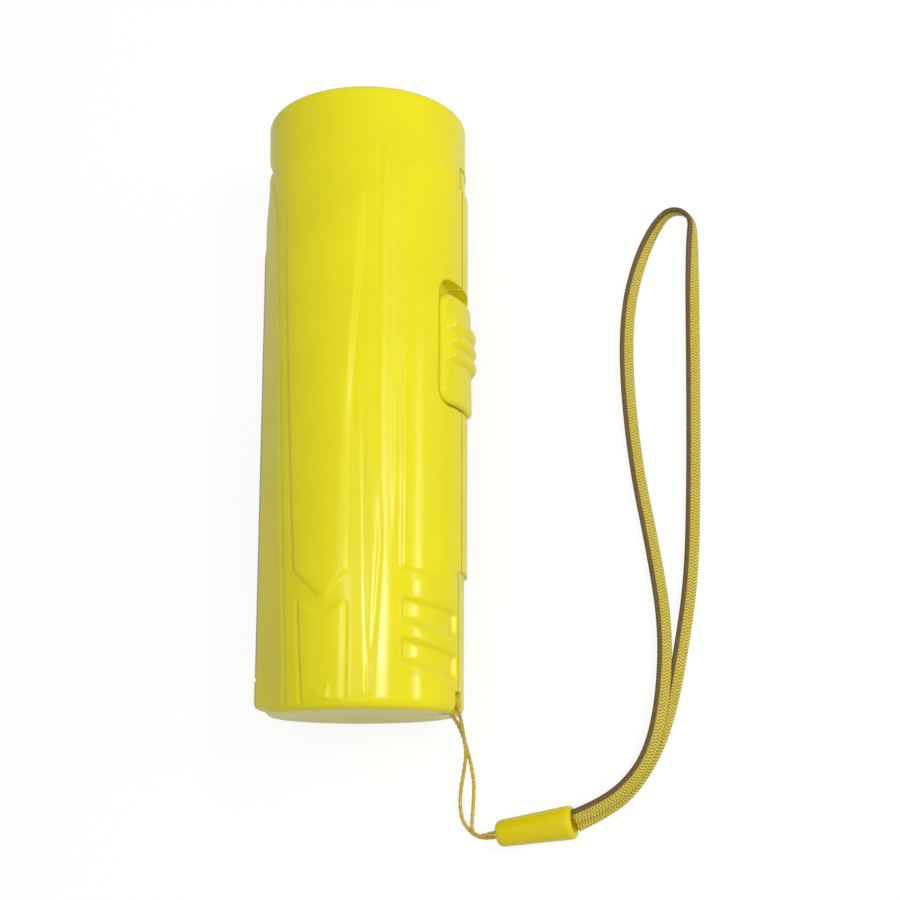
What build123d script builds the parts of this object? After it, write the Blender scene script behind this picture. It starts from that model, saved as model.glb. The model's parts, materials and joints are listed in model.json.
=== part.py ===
from build123d import *

"""A pocket hand crank torch lying on its crank side, with its wrist strap laid out beside it.

The torch's axis lies along Y with the head at +Y, the slide switch faces +X, the side lamp faces -X
and the folded crank faces the table at Z = 0. Sizes are in millimetres.
"""

import os
from math import acos, cos, hypot, pi, radians, sin, sqrt, tan

os.makedirs("parts", exist_ok=True)

# ---------------------------------------------------------------- driving sizes: housing
body_length = 124.0
head_radius = 20.8
tail_radius = 19.2
rest_cut = 0.5  # the rest flats cut this much off the round body at the tail
rest_wall = 0.8  # left between the head's bore and its rest flat
wall = 2.0
tail_wall = 2.4
rim_round = 1.6
head_ring_length = 12.0  # the upper shell closes into a full ring at the head
part_gap = 0.1  # between pieces that are pushed together
running_gap = 0.05  # radial, round a pin or shaft that turns

# ---------------------------------------------------------------- driving sizes: head
lens_thickness = 1.6
lens_ring_length = 2.4
lens_ring_width = 1.6
lens_ring_depth = 0.3  # its face lies this far inside the head's rim
reflector_wall = 1.0
reflector_depth = 14.0
reflector_throat = 5.0
flange_thickness = 1.2
seat_rib = 1.6
led_board_radius = 7.4
led_board_thickness = 1.6
led_radius = 2.5
led_base = 1.2
led_dome = 1.8

# ---------------------------------------------------------------- driving sizes: crank side
deck_tail_gap = 16.0  # from the tail's end to the deck's edge
deck_room = 0.4  # between the deck's wall and the reflector
deck_height = 9.2
deck_wall = 1.6
arm_end_room = 6.0  # from the fold pin to the deck's edge
arm_width = 14.0
arm_thickness = 5.5
arm_tip_gap = 1.0
arm_corner = 5.5
arm_edge = 0.8
hub_radius = 8.5
hub_step = 1.5
hub_gap = 0.3
knob_radius = 4.0
knob_length = 15.5
knob_floor_gap = 0.7
knob_slot_gap = 0.35
knob_side_gap = 0.2
knob_barrel_radius = 3.0
knob_neck_flat = 0.8
knob_rim = 0.8
knob_waist = 0.5
knob_start = 3.5  # from the fold pin to the near end of the knob
fold_pin_radius = 1.0
fold_pin_inset = 0.3
spindle_radius = 1.25
spindle_head_radius = 2.2
spindle_head_length = 0.8
spindle_inset = 0.2
spindle_wall = 0.5  # between the fold pin and the spindle's root
crank_screw_head_radius = 2.6
crank_screw_recess = 1.2
crank_screw_length = 8.0
crank_shaft_radius = 2.0
crank_shaft_flat = 0.5
bush_wall = 1.4
bush_flange = 0.6
bush_flange_width = 1.2

# ---------------------------------------------------------------- driving sizes: gear train
first_module = 0.6
fine_module = 0.5
crank_teeth = 40
second_pinion_teeth = 12
wheel_teeth = 36
small_pinion_teeth = 10
pressure_angle = 20.0
pinion_shift = 0.42  # profile shift that keeps ten teeth free of undercut
backlash = 0.09
crank_gear_width = 3.0
wheel_width = 2.0
layer_gap = 0.5
gear_pin_radius = 1.0
boss_wall = 1.5
plate_thickness = 1.4
plate_margin = 0.4
plate_width = 20.0
plate_corner = 1.5
pillar_radius = 1.8
pillar_inset = 2.5
front_pillar_reach = 15.0  # from the crank's axis
rear_pillar_x = 11.6
rear_pillar_reach = 5.0  # behind the third gear
plate_screw_depth = 5.0
plate_screw_head_radius = 1.7
plate_screw_head_height = 1.0
dynamo_radius = 9.5
dynamo_height = 8.5
can_wall = 0.8
magnet_radius = 5.0
coil_gap = 0.6
magnet_gap = 0.5

# ---------------------------------------------------------------- driving sizes: power and boards
cell_radius = 7.75
cell_length = 6.0
cell_count = 3
cell_wrap = 0.25
contact_thickness = 0.4
board_thickness = 1.6
board_width = 20.0
board_length = 22.0
board_standoff = 0.6
cradle_length = 12.0
cradle_width = 12.0
cradle_floor = 0.8
contact_width = 6.0
screw_boss_radius = 2.3
screw_radius = 1.0
screw_head_radius = 1.9
screw_head_height = 1.3
screw_depth = 6.0  # of each housing screw in the upper shell
screw_head_gap = 0.2
screw_x = 12.6
screw_reaches = (-20.0, 33.0)  # from the crank's axis

# ---------------------------------------------------------------- driving sizes: switch
slider_y = 8.8
slider_length = 22.6
slider_half_width = 7.5
side_reach = 22.6  # of the slider's crown on one side and the lamp's cover on the other
slider_travel = 2.6
slider_gap = 0.3
slider_round = 2.6
slider_edge = 0.9
recess_depth = 2.2  # of the flat pocket under the slider, at the seam
pad_thickness = 3.0
stem_width = 4.0
stem_length = 5.0
grip_rib_count = 4
grip_rib_pitch = 4.6
grip_groove = 1.5
grip_groove_depth = 0.8
switch_body_length = 9.0
switch_body_width = 4.0
switch_body_depth = 3.6
lever_width = 1.5
lever_play = 0.2
lever_groove = 0.8
lever_reach = 2.0
switch_board_thickness = 0.9
switch_board_back = 8.0
switch_board_front = 10.0
switch_board_low = 3.2
switch_board_high = 5.0

# ---------------------------------------------------------------- driving sizes: side lamp
lamp_tail_gap = 8.0
lamp_head_gap = 23.5
lamp_half_width = 7.4
lamp_face = 19.0  # distance of the tray's rim from the axis
diffuser_seat = 1.4
diffuser_wall = 1.4
diffuser_slope = 9.0
cover_corner = 2.0
lamp_lip = 1.0
lamp_ledge = 0.8
lamp_depth = 2.8
tray_wall = 1.2
band_half_width = 9.0
band_foot = 14.4
band_fade = 6.0
foot_lip = 0.4
band_tail_gap = 1.6
side_led_count = 9
side_led_size = 2.2
side_led_height = 0.8
side_board_thickness = 1.0

# ---------------------------------------------------------------- driving sizes: moulded relief
relief = 0.45
arrow_turn = -3.7  # degrees round the axis from the top, towards the switch
arrow_half_width = 5.7
arrow_head_gap = 16.0
arrow_tail_gap = 25.4
arrow_point = 4.2
arrow_blunt = 1.1
notch_gap = 5.0
notch_depth = 3.4
panel_turn = 65.0
panel_left = -8.2
panel_head_gap = 17.5
panel_tail_gap = 27.0
panel_round = 6.0
panel_step = 2.9
panel_relief = 0.3
scoop_turn = 63.0
scoop_radius = 4.4
scoop_depth = 1.2
scoop_tail_gap = 28.0  # to the scoop nearest the head
scoop_pitch = 8.7
scoop_count = 3

# ---------------------------------------------------------------- driving sizes: strap
eye_notch_width = 3.4
eye_notch_length = 4.0
eye_notch_depth = 3.6
eye_pin_radius = 0.6
eye_pin_length = 8.0
thin_cord_diameter = 0.8
braid_diameter = 1.8
ferrule_length = 15.7
ferrule_small_radius = 2.6
ferrule_big_radius = 3.3

# ---------------------------------------------------------------- places worked out from the sizes
tail_y = -body_length / 2
head_y = body_length / 2
axis_height = tail_radius - rest_cut
axis_plane = Plane.XY.offset(axis_height)
body_axis = Axis((0, 0, axis_height), (0, 1, 0))
inner_floor = deck_height + deck_wall
ring_y = head_y - head_ring_length
lens_back = head_y - lens_ring_length - lens_thickness
reflector_back = lens_back - reflector_depth
deck_front = reflector_back - deck_wall - deck_room
deck_radius = (deck_front - tail_y - deck_tail_gap) / 2
crank_y = deck_front - deck_radius
arm_reach = deck_radius - arm_end_room
lamp_start = tail_y + lamp_tail_gap
lamp_end = head_y - lamp_head_gap
screw_ys = [crank_y + reach for reach in screw_reaches]


def body_radius(y):
    """Outer radius of the tapered body at a place along it."""
    return tail_radius + (head_radius - tail_radius) * (y - tail_y) / body_length


def turned(points, round_outer=0.0):
    """A solid turned about the body's axis from (radius, y) points."""
    with BuildPart() as piece:
        with BuildSketch(axis_plane) as profile:
            with BuildLine():
                Polyline(*points, close=True)
            make_face()
            if round_outer:
                outer = profile.vertices().sort_by(Axis.X)[-2:]
                fillet(outer, round_outer)
        revolve(axis=body_axis)
    return piece.part


def body_form(growth=0.0):
    """The round tapered body, or the same body grown outwards for raised relief."""
    return turned(
        [
            (0, tail_y),
            (tail_radius + growth, tail_y),
            (head_radius + growth, head_y),
            (0, head_y),
        ],
        rim_round,
    )


def flank_plane(turn):
    """A plane touching the body, its x round the body towards the switch and its y along it."""
    out = Vector(sin(radians(turn)), 0, cos(radians(turn)))
    origin = Vector(0, 0, axis_height) + out * head_radius
    return Plane(
        origin=origin, x_dir=(cos(radians(turn)), 0, -sin(radians(turn))), z_dir=out
    )


def raised(turn, height, outline, corner_round=0.0):
    """The part of the grown body under an outline on the flank, as raised relief.

    The outline's second point is the corner that corner_round softens.
    """
    with BuildPart() as piece:
        add(body_form(height))
        with BuildSketch(flank_plane(turn).offset(1)):
            with BuildLine():
                if corner_round:
                    FilletPolyline(*outline[:3], radius=corner_round)
                    Polyline(*outline[2:], outline[0])
                else:
                    Polyline(*outline, close=True)
            make_face()
        extrude(amount=-head_radius / 2, mode=Mode.INTERSECT)
    return piece.part


def block(x0, x1, y0, y1, z0, z1):
    """A plain block between six faces, used as a cutter and as a rib."""
    with BuildPart() as piece:
        with Locations(((x0 + x1) / 2, (y0 + y1) / 2, (z0 + z1) / 2)):
            Box(x1 - x0, y1 - y0, z1 - z0)
    return piece.part


def post(x, y, radius, z0, z1):
    """An upright cylinder, used for bosses, pins and bores."""
    with BuildPart() as piece:
        with Locations((x, y, (z0 + z1) / 2)):
            Cylinder(radius, z1 - z0)
    return piece.part


def save(piece, name):
    piece.label = name
    export_step(piece, f"parts/{name}.step")


# ---------------------------------------------------------------- housing: shared forms
flange_back = lens_back - flange_thickness
rib_back = flange_back - seat_rib
head_bore = axis_height - rest_wall

cavity = turned(
    [
        (0, tail_y + tail_wall),
        (body_radius(tail_y) - wall, tail_y + tail_wall),
        (head_bore, rib_back),
        (head_bore - seat_rib, rib_back),
        (head_bore - seat_rib, flange_back),
        (head_bore, flange_back),
        (head_bore, head_y + 1),
        (0, head_y + 1),
    ]
)

seat_x = lamp_face - diffuser_seat

# The lamp's raised band: a flat-faced pad along the body that slopes back into it.
band_start = tail_y + band_tail_gap
band_end = lamp_end + band_fade
band_rim = sqrt(head_radius**2 - band_foot**2) - relief
with BuildPart() as lamp_band:
    with BuildSketch(Plane.XZ.offset(-band_start)) as band_profile:
        with BuildLine():
            Polyline(
                (-lamp_face, axis_height - band_half_width),
                (-lamp_face, axis_height + band_half_width),
                (-band_rim, axis_height + band_foot),
                (-head_radius / 2, axis_height + band_foot / 2),
                (-head_radius / 2, axis_height - band_foot / 2),
                (-band_rim, axis_height - band_foot),
                close=True,
            )
        make_face()
    extrude(amount=-(band_end - band_start))
    head_edge = lamp_band.edges().filter_by(Axis.Z).group_by(Axis.X)[0].sort_by(Axis.Y)[-1]
    chamfer(head_edge, lamp_face - band_rim - relief, band_fade)


def cover_profile(growth=0.0):
    """The lamp cover's crowned section across the torch, drawn as a closed line."""
    edge = lamp_half_width - part_gap + growth
    top, bottom = axis_height + edge, axis_height - edge
    Polyline((-lamp_face, bottom), (-seat_x, bottom), (-seat_x, top), (-lamp_face, top))
    ThreePointArc((-lamp_face, top), (-side_reach, axis_height), (-lamp_face, bottom))


def cover_hollow():
    """The hollow under the cover, one wall inside its crowned section."""
    edge = lamp_half_width - part_gap - diffuser_wall
    top, bottom = axis_height + edge, axis_height - edge
    crown = side_reach - diffuser_wall
    Polyline((-lamp_face, bottom), (-seat_x, bottom), (-seat_x, top), (-lamp_face, top))
    ThreePointArc((-lamp_face, top), (-crown, axis_height), (-lamp_face, bottom))


# The foot that closes the cover's tail end.
foot_start = tail_y + band_tail_gap
with BuildPart() as lamp_foot:
    with BuildSketch(Plane.XZ.offset(-foot_start)):
        with BuildLine():
            cover_profile(foot_lip)
        make_face()
    extrude(amount=-(lamp_start - lamp_lip - foot_start))
    fillet(lamp_foot.edges().group_by(Axis.Y)[0].filter_by(GeomType.CIRCLE), band_tail_gap)

# The slide switch's flat pocket, the pad that backs it and the slot its stem runs in.
slider_back = slider_y - slider_length / 2
slider_front = slider_y + slider_length / 2
slider_radius = body_radius(slider_y)
slider_rise = side_reach - slider_radius
pocket_floor = slider_radius - recess_depth
pocket_back = slider_back - slider_gap
pocket_front = slider_front + slider_travel + slider_gap
pocket_half = slider_half_width + slider_gap
with BuildPart() as switch_pocket:
    with BuildSketch(Plane.YZ.offset(pocket_floor)):
        with Locations(((pocket_back + pocket_front) / 2, axis_height)):
            RectangleRounded(
                pocket_front - pocket_back, 2 * pocket_half, slider_round + slider_gap
            )
    extrude(amount=head_radius)
stem_back = slider_y - stem_length / 2 - slider_gap
stem_front = slider_y + stem_length / 2 + slider_travel + slider_gap
stem_half = stem_width / 2 + slider_gap
stem_slot = block(
    pocket_floor - 2 * pad_thickness,
    head_radius,
    stem_back,
    stem_front,
    axis_height - stem_half,
    axis_height + stem_half,
)
pad_back = pocket_floor - pad_thickness
switch_pad = block(
    pad_back,
    pocket_floor + part_gap,
    pocket_back - wall,
    pocket_front + wall,
    axis_height - pocket_half,
    axis_height + pocket_half,
)

# The window for the side lamp's tray.
tray_half = lamp_half_width + lamp_lip
tray_back = lamp_face - lamp_depth - tray_wall
lamp_window = block(
    -2 * head_radius,
    -tray_back,
    lamp_start - lamp_lip,
    lamp_end + lamp_lip,
    axis_height - tray_half,
    axis_height + tray_half,
)

# The notch at the tail's switch-side corner, with the bore for its pin.
eye_x = tail_radius - eye_notch_depth / 2
eye_y = tail_y + eye_notch_length / 2
eye_notch = block(
    tail_radius - eye_notch_depth,
    head_radius + 1,
    tail_y - 1,
    tail_y + eye_notch_length,
    axis_height - eye_notch_width / 2,
    axis_height + eye_notch_width / 2,
)
eye_bore = post(
    eye_x,
    eye_y,
    eye_pin_radius,
    axis_height - eye_pin_length / 2,
    axis_height + eye_pin_length / 2,
)

# The disc-shaped deck that the crank turns on, and the floor that it leaves inside.
eye_block = block(
    eye_x - eye_notch_depth,
    head_radius,
    tail_y,
    tail_y + eye_notch_length + wall,
    axis_height - eye_pin_length / 2 - part_gap,
    axis_height + eye_pin_length / 2 + part_gap,
)
deck_cut = post(0, crank_y, deck_radius, -1, deck_height)
deck_floor = post(0, crank_y, deck_radius + deck_wall, -1, inner_floor)
below_table = block(
    -2 * head_radius, 2 * head_radius, 2 * tail_y, 2 * head_y, -head_radius, 0
)

# ---------------------------------------------------------------- gear train places
crank_wheel_radius = first_module * crank_teeth / 2
first_centres = first_module * (crank_teeth + second_pinion_teeth) / 2
fine_centres = fine_module * (wheel_teeth + small_pinion_teeth) / 2
second_y = crank_y - first_centres
third_y = second_y - fine_centres
rotor_y = third_y - fine_centres
crank_gear_z = inner_floor + bush_flange + part_gap
second_wheel_z = crank_gear_z + crank_gear_width + layer_gap
third_wheel_z = second_wheel_z + wheel_width + layer_gap
plate_z = third_wheel_z + wheel_width + layer_gap + part_gap
plate_top = plate_z + plate_thickness
dynamo_z = plate_top
front_pillar_y = crank_y + front_pillar_reach
rear_pillar_y = third_y - rear_pillar_reach
pillar_places = [
    (plate_width / 2 - pillar_inset, front_pillar_y),
    (pillar_inset - plate_width / 2, front_pillar_y),
    (rear_pillar_x, rear_pillar_y),
    (-rear_pillar_x, rear_pillar_y),
]
board_z = inner_floor + board_standoff
cell_axis_height = board_z + board_thickness + cell_radius + cell_wrap + cradle_floor
# the cells and their board lie midway between the crank's gear and the head's board
crank_gear_front = crank_y + crank_wheel_radius + first_module
battery_y = (crank_gear_front + reflector_back - led_board_thickness) / 2

# ---------------------------------------------------------------- housing: upper shell
arrow_top = head_y - arrow_head_gap
arrow_shoulder = tail_y + arrow_tail_gap
arrow_tip = arrow_shoulder - arrow_point
panel_top = head_y - panel_head_gap
panel_low = tail_y + panel_tail_gap
scoop_first = tail_y + scoop_tail_gap
arrow = raised(
    arrow_turn,
    relief,
    [
        (-arrow_half_width, arrow_top),
        (-arrow_half_width, arrow_shoulder),
        (-arrow_blunt, arrow_tip),
        (arrow_blunt, arrow_tip),
        (arrow_half_width, arrow_shoulder),
        (arrow_half_width, arrow_top),
    ],
)
tail_panel = raised(
    arrow_turn,
    relief,
    [
        (-arrow_half_width, arrow_shoulder - notch_gap),
        (0, arrow_shoulder - notch_gap - notch_depth),
        (arrow_half_width, arrow_shoulder - notch_gap),
        (arrow_half_width, tail_y + rim_round),
        (-arrow_half_width, tail_y + rim_round),
    ],
)


def switch_panel(step, height):
    """One of the nested raised panels on the switch side, each grown outwards by one more step."""
    left = panel_left - step
    top = panel_top + step
    outline = [(left, panel_low), (left, top), (head_radius, top), (head_radius, panel_low)]
    return raised(panel_turn, height, outline, corner_round=panel_round + step)


panels = [
    switch_panel(2 * panel_step, panel_relief / 2),
    switch_panel(panel_step, panel_relief),
    switch_panel(0, panel_relief * 2),
]


def finger_scoops():
    """Shallow hollows across the switch side near the tail, one for each finger."""
    out = Vector(sin(radians(scoop_turn)), 0, cos(radians(scoop_turn)))
    with BuildPart() as scoops:
        for count in range(scoop_count):
            y = scoop_first - count * scoop_pitch
            reach = body_radius(y) + scoop_radius - scoop_depth
            middle = Vector(0, y, axis_height) + out * reach
            across = Plane(origin=middle, z_dir=(out.Z, 0, -out.X))
            with Locations(across.location):
                Cylinder(scoop_radius, head_radius)
    return scoops.part


scoops = finger_scoops()
deck_side = block(-2 * head_radius, 2 * head_radius, 2 * tail_y, ring_y, -1, axis_height)
seam_side = block(
    -2 * head_radius, 2 * head_radius, 2 * tail_y, 2 * head_y, axis_height, 3 * head_radius
)
ring_block = block(-2 * head_radius, 2 * head_radius, ring_y, 2 * head_y, -1, axis_height)
inner_form = turned(
    [
        (0, tail_y + wall / 2),
        (body_radius(tail_y) - wall / 2, tail_y + wall / 2),
        (body_radius(rib_back) - wall / 2, rib_back),
        (0, rib_back),
    ]
)


with BuildPart() as upper_shell:
    add(body_form())
    for form in panels + [arrow, tail_panel, lamp_band.part, lamp_foot.part]:
        add(form)
    # only the upper half and the full ring at the head
    add(deck_side, mode=Mode.SUBTRACT)
    add(cavity, mode=Mode.SUBTRACT)
    add(switch_pad & inner_form & seam_side)
    add(eye_block & inner_form & seam_side)
    # blind bosses for the housing screws
    for side in (-1, 1):
        for y in screw_ys:
            boss = post(side * screw_x, y, screw_boss_radius, axis_height, 2 * head_radius)
            add(boss & inner_form)
    for y in screw_ys:
        for side in (-1, 1):
            bore = post(side * screw_x, y, screw_radius, axis_height, axis_height + screw_depth)
            add(bore, mode=Mode.SUBTRACT)
    for cutter in (scoops, switch_pocket.part, stem_slot, lamp_window, eye_notch, eye_bore, below_table):
        add(cutter, mode=Mode.SUBTRACT)
save(upper_shell.part, "upper_shell")

with BuildPart() as lower_shell:
    add(body_form())
    for form in [panels[2], lamp_band.part, lamp_foot.part]:
        add(form)
    add(seam_side, mode=Mode.SUBTRACT)
    add(ring_block, mode=Mode.SUBTRACT)
    add(cavity - deck_floor, mode=Mode.SUBTRACT)
    add(switch_pad & inner_form & deck_side)
    add(eye_block & inner_form & deck_side)
    for side in (-1, 1):
        for y in screw_ys:
            add(post(side * screw_x, y, screw_boss_radius, inner_floor, axis_height))
    # bosses that carry the gear pins and the rotor
    for y, top in (
        (second_y, crank_gear_z),
        (third_y, second_wheel_z - layer_gap),
        (rotor_y, third_wheel_z - part_gap - layer_gap),
    ):
        add(post(0, y, gear_pin_radius + boss_wall, inner_floor, top))
    for x, y in pillar_places:
        add(post(x, y, pillar_radius, inner_floor, plate_z))
    # the deck and the bores through it
    add(deck_cut, mode=Mode.SUBTRACT)
    for y in (second_y, third_y):
        add(post(0, y, gear_pin_radius, inner_floor - deck_wall / 2, axis_height), mode=Mode.SUBTRACT)
    add(
        post(0, rotor_y, gear_pin_radius + running_gap, inner_floor - deck_wall / 2, axis_height),
        mode=Mode.SUBTRACT,
    )
    add(
        post(0, crank_y, crank_shaft_radius + bush_wall, deck_height - 1, axis_height),
        mode=Mode.SUBTRACT,
    )
    for side in (-1, 1):
        for y in screw_ys:
            add(post(side * screw_x, y, screw_radius, 0, axis_height), mode=Mode.SUBTRACT)
            add(
                post(side * screw_x, y, screw_head_radius, 0, deck_height + screw_head_height),
                mode=Mode.SUBTRACT,
            )
    for x, y in pillar_places:
        add(post(x, y, screw_radius, inner_floor, plate_z), mode=Mode.SUBTRACT)
    for cutter in (scoops, switch_pocket.part, stem_slot, lamp_window, eye_notch, eye_bore, below_table):
        add(cutter, mode=Mode.SUBTRACT)
save(lower_shell.part, "lower_shell")

screw_parts = []
screw_start = deck_height + screw_head_gap
for side in (-1, 1):
    for y in screw_ys:
        with BuildPart() as screw:
            add(post(side * screw_x, y, screw_radius, screw_start, axis_height + screw_depth))
            add(
                post(
                    side * screw_x,
                    y,
                    screw_head_radius - part_gap,
                    screw_start,
                    deck_height + screw_head_height,
                )
            )
        screw_parts.append(screw.part)
save(Compound(children=screw_parts), "shell_screws")

# ---------------------------------------------------------------- head
lens_radius = head_bore - part_gap
with BuildPart() as lens_ring:
    add(
        turned(
            [
                (lens_radius - lens_ring_width, head_y - lens_ring_length),
                (lens_radius, head_y - lens_ring_length),
                (lens_radius, head_y - lens_ring_depth),
                (lens_radius - lens_ring_width * 0.6, head_y - lens_ring_depth),
            ]
        )
    )
save(lens_ring.part, "lens_ring")

lens_front = lens_back + lens_thickness
lens_profile = [(0, lens_back), (lens_radius, lens_back), (lens_radius, lens_front), (0, lens_front)]
save(turned(lens_profile), "lens")

cup_radius = head_bore - seat_rib - part_gap - 0.4
with BuildPart() as reflector:
    with BuildSketch(axis_plane):
        with BuildLine():
            inside = ThreePointArc(
                (reflector_throat, reflector_back),
                (cup_radius * 0.74, lens_back - reflector_depth * 0.62),
                (cup_radius - reflector_wall, lens_back),
            )
            Line(inside @ 1, (lens_radius, lens_back))
            Line((lens_radius, lens_back), (lens_radius, flange_back))
            Line((lens_radius, flange_back), (cup_radius, flange_back))
            outside = ThreePointArc(
                (cup_radius, flange_back),
                (cup_radius * 0.74 + reflector_wall, lens_back - reflector_depth * 0.62 - 0.4),
                (reflector_throat + reflector_wall, reflector_back),
            )
            Line(outside @ 1, (reflector_throat, reflector_back))
        make_face()
    revolve(axis=body_axis)
save(reflector.part, "reflector")

with BuildPart() as led_board:
    with BuildSketch(Plane.XZ.offset(led_board_thickness - reflector_back)):
        with Locations((0, axis_height)):
            Circle(led_board_radius)
    extrude(amount=-led_board_thickness)
save(led_board.part, "led_board")
save(
    turned(
        [
            (0, reflector_back),
            (led_radius, reflector_back),
            (led_radius, reflector_back + led_base),
            (led_radius * 0.8, reflector_back + led_base + led_dome / 2),
            (0, reflector_back + led_base + led_dome),
        ]
    ),
    "head_led",
)


# ---------------------------------------------------------------- crank
knob_z = knob_floor_gap + knob_radius
arm_bottom = knob_z - arm_thickness / 2
arm_top = knob_z + arm_thickness / 2
hub_top = deck_height - hub_gap
pin_y = crank_y - arm_reach
arm_tip_y = crank_y - deck_radius + arm_tip_gap
slot_half = knob_radius + knob_slot_gap
slot_outer_y = pin_y - knob_barrel_radius - knob_slot_gap
slot_inner_y = pin_y + hypot(knob_start + knob_length, knob_radius) + knob_slot_gap
head_start = arm_bottom + screw_head_gap
head_end = arm_bottom + crank_screw_recess
shaft_bottom = head_end + screw_head_gap


def keyed(radius, z0, z1):
    """A shaft length, or its hole, with one flat that turns what is pushed on it."""
    return post(0, crank_y, radius, z0, z1) - block(
        radius - crank_shaft_flat, 2 * radius, crank_y - radius, crank_y + radius, z0, z1
    )


with BuildPart() as crank_bush:
    bush_radius = crank_shaft_radius + bush_wall
    add(post(0, crank_y, bush_radius, deck_height, inner_floor))
    add(post(0, crank_y, bush_radius + bush_flange_width, inner_floor, inner_floor + bush_flange))
    add(
        post(0, crank_y, crank_shaft_radius + running_gap, 0, 2 * inner_floor),
        mode=Mode.SUBTRACT,
    )
save(crank_bush.part, "crank_bush")

gear_top = crank_gear_z + crank_gear_width
with BuildPart() as crank_shaft:
    add(keyed(crank_shaft_radius, shaft_bottom, hub_top))
    add(post(0, crank_y, crank_shaft_radius, hub_top, crank_gear_z))
    add(keyed(crank_shaft_radius, crank_gear_z, gear_top))
    add(post(0, crank_y, crank_shaft_radius, gear_top, plate_top))
    add(post(0, crank_y, screw_radius, 0, head_start + crank_screw_length), mode=Mode.SUBTRACT)
save(crank_shaft.part, "crank_shaft")

with BuildPart() as crank_screw:
    add(post(0, crank_y, screw_radius, head_start, head_start + crank_screw_length))
    add(post(0, crank_y, crank_screw_head_radius, head_start, head_end))
save(crank_screw.part, "crank_screw")

with BuildPart() as crank_arm:
    with BuildSketch(Plane.XY.offset(arm_bottom)) as arm_outline:
        with Locations((0, (arm_tip_y + crank_y) / 2)):
            Rectangle(arm_width, crank_y - arm_tip_y)
        fillet(arm_outline.vertices().group_by(Axis.Y)[0], arm_corner)
        with Locations((0, crank_y)):
            Circle(hub_radius)
    extrude(amount=arm_thickness)
    fillet(crank_arm.edges().group_by(Axis.Z)[0], arm_edge)
    add(post(0, crank_y, hub_radius - hub_step, arm_top - arm_edge, hub_top))
    with BuildSketch(Plane.XY):
        with Locations((0, (slot_outer_y + slot_inner_y) / 2)):
            RectangleRounded(2 * slot_half, slot_inner_y - slot_outer_y, arm_edge)
    extrude(amount=hub_top, mode=Mode.SUBTRACT)
    add(keyed(crank_shaft_radius, arm_bottom, 2 * hub_top), mode=Mode.SUBTRACT)
    recess_radius = crank_screw_head_radius + part_gap
    add(post(0, crank_y, recess_radius, 0, head_end), mode=Mode.SUBTRACT)
    with Locations(Location((0, pin_y, knob_z), (0, 90, 0))):
        Cylinder(fold_pin_radius, 2 * arm_width, mode=Mode.SUBTRACT)
save(crank_arm.part, "crank_arm")

with BuildPart() as fold_pin:
    with Locations(Location((0, pin_y, knob_z), (0, 90, 0))):
        Cylinder(fold_pin_radius, arm_width - 2 * fold_pin_inset)
save(fold_pin.part, "fold_pin")

barrel_length = 2 * (slot_half - knob_side_gap)
neck_end = knob_start - part_gap
spindle_root = pin_y + fold_pin_radius + spindle_wall
with BuildPart() as knob_hinge:
    with Locations(Location((0, pin_y, knob_z), (0, 90, 0))):
        Cylinder(knob_barrel_radius, barrel_length)
    with Locations((0, pin_y + neck_end / 2, knob_z)):
        Box(2 * knob_barrel_radius, neck_end, 2 * knob_barrel_radius - knob_neck_flat)
    with Locations(Location((0, pin_y, knob_z), (0, 90, 0))):
        Cylinder(fold_pin_radius + running_gap, 2 * barrel_length, mode=Mode.SUBTRACT)
    with Locations(Location((0, pin_y + knob_barrel_radius, knob_z), (90, 0, 0))):
        Cylinder(spindle_radius, 2 * (pin_y + knob_barrel_radius - spindle_root), mode=Mode.SUBTRACT)
save(knob_hinge.part, "knob_hinge")

knob_near = pin_y + knob_start
knob_far = knob_near + knob_length
spindle_seat = knob_far - spindle_head_length - spindle_inset
with BuildPart() as knob_spindle:
    with BuildSketch(Plane.XY.offset(knob_z)):
        with BuildLine():
            Polyline(
                (0, spindle_root),
                (spindle_radius, spindle_root),
                (spindle_radius, spindle_seat),
                (spindle_head_radius, spindle_seat),
                (spindle_head_radius, knob_far - spindle_inset),
                (0, knob_far - spindle_inset),
                close=True,
            )
        make_face()
    revolve(axis=Axis((0, 0, knob_z), (0, 1, 0)))
save(knob_spindle.part, "knob_spindle")

with BuildPart() as crank_knob:
    waist = knob_radius - knob_waist
    bore = spindle_radius + running_gap
    seat = spindle_seat - running_gap
    head_bore_radius = spindle_head_radius + running_gap
    with BuildSketch(Plane.XY.offset(knob_z)):
        with BuildLine():
            Polyline(
                (bore, seat),
                (bore, knob_near),
                (knob_radius - knob_rim, knob_near),
                (knob_radius, knob_near + knob_rim),
            )
            ThreePointArc(
                (knob_radius, knob_near + knob_rim),
                (waist, (knob_near + knob_far) / 2),
                (knob_radius, knob_far - knob_rim),
            )
            Polyline(
                (knob_radius, knob_far - knob_rim),
                (knob_radius - knob_rim, knob_far),
                (head_bore_radius, knob_far),
                (head_bore_radius, seat),
                (bore, seat),
            )
        make_face()
    revolve(axis=Axis((0, 0, knob_z), (0, 1, 0)))
save(crank_knob.part, "crank_knob")


# ---------------------------------------------------------------- gear train
def involute(angle):
    return tan(angle) - angle


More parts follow.
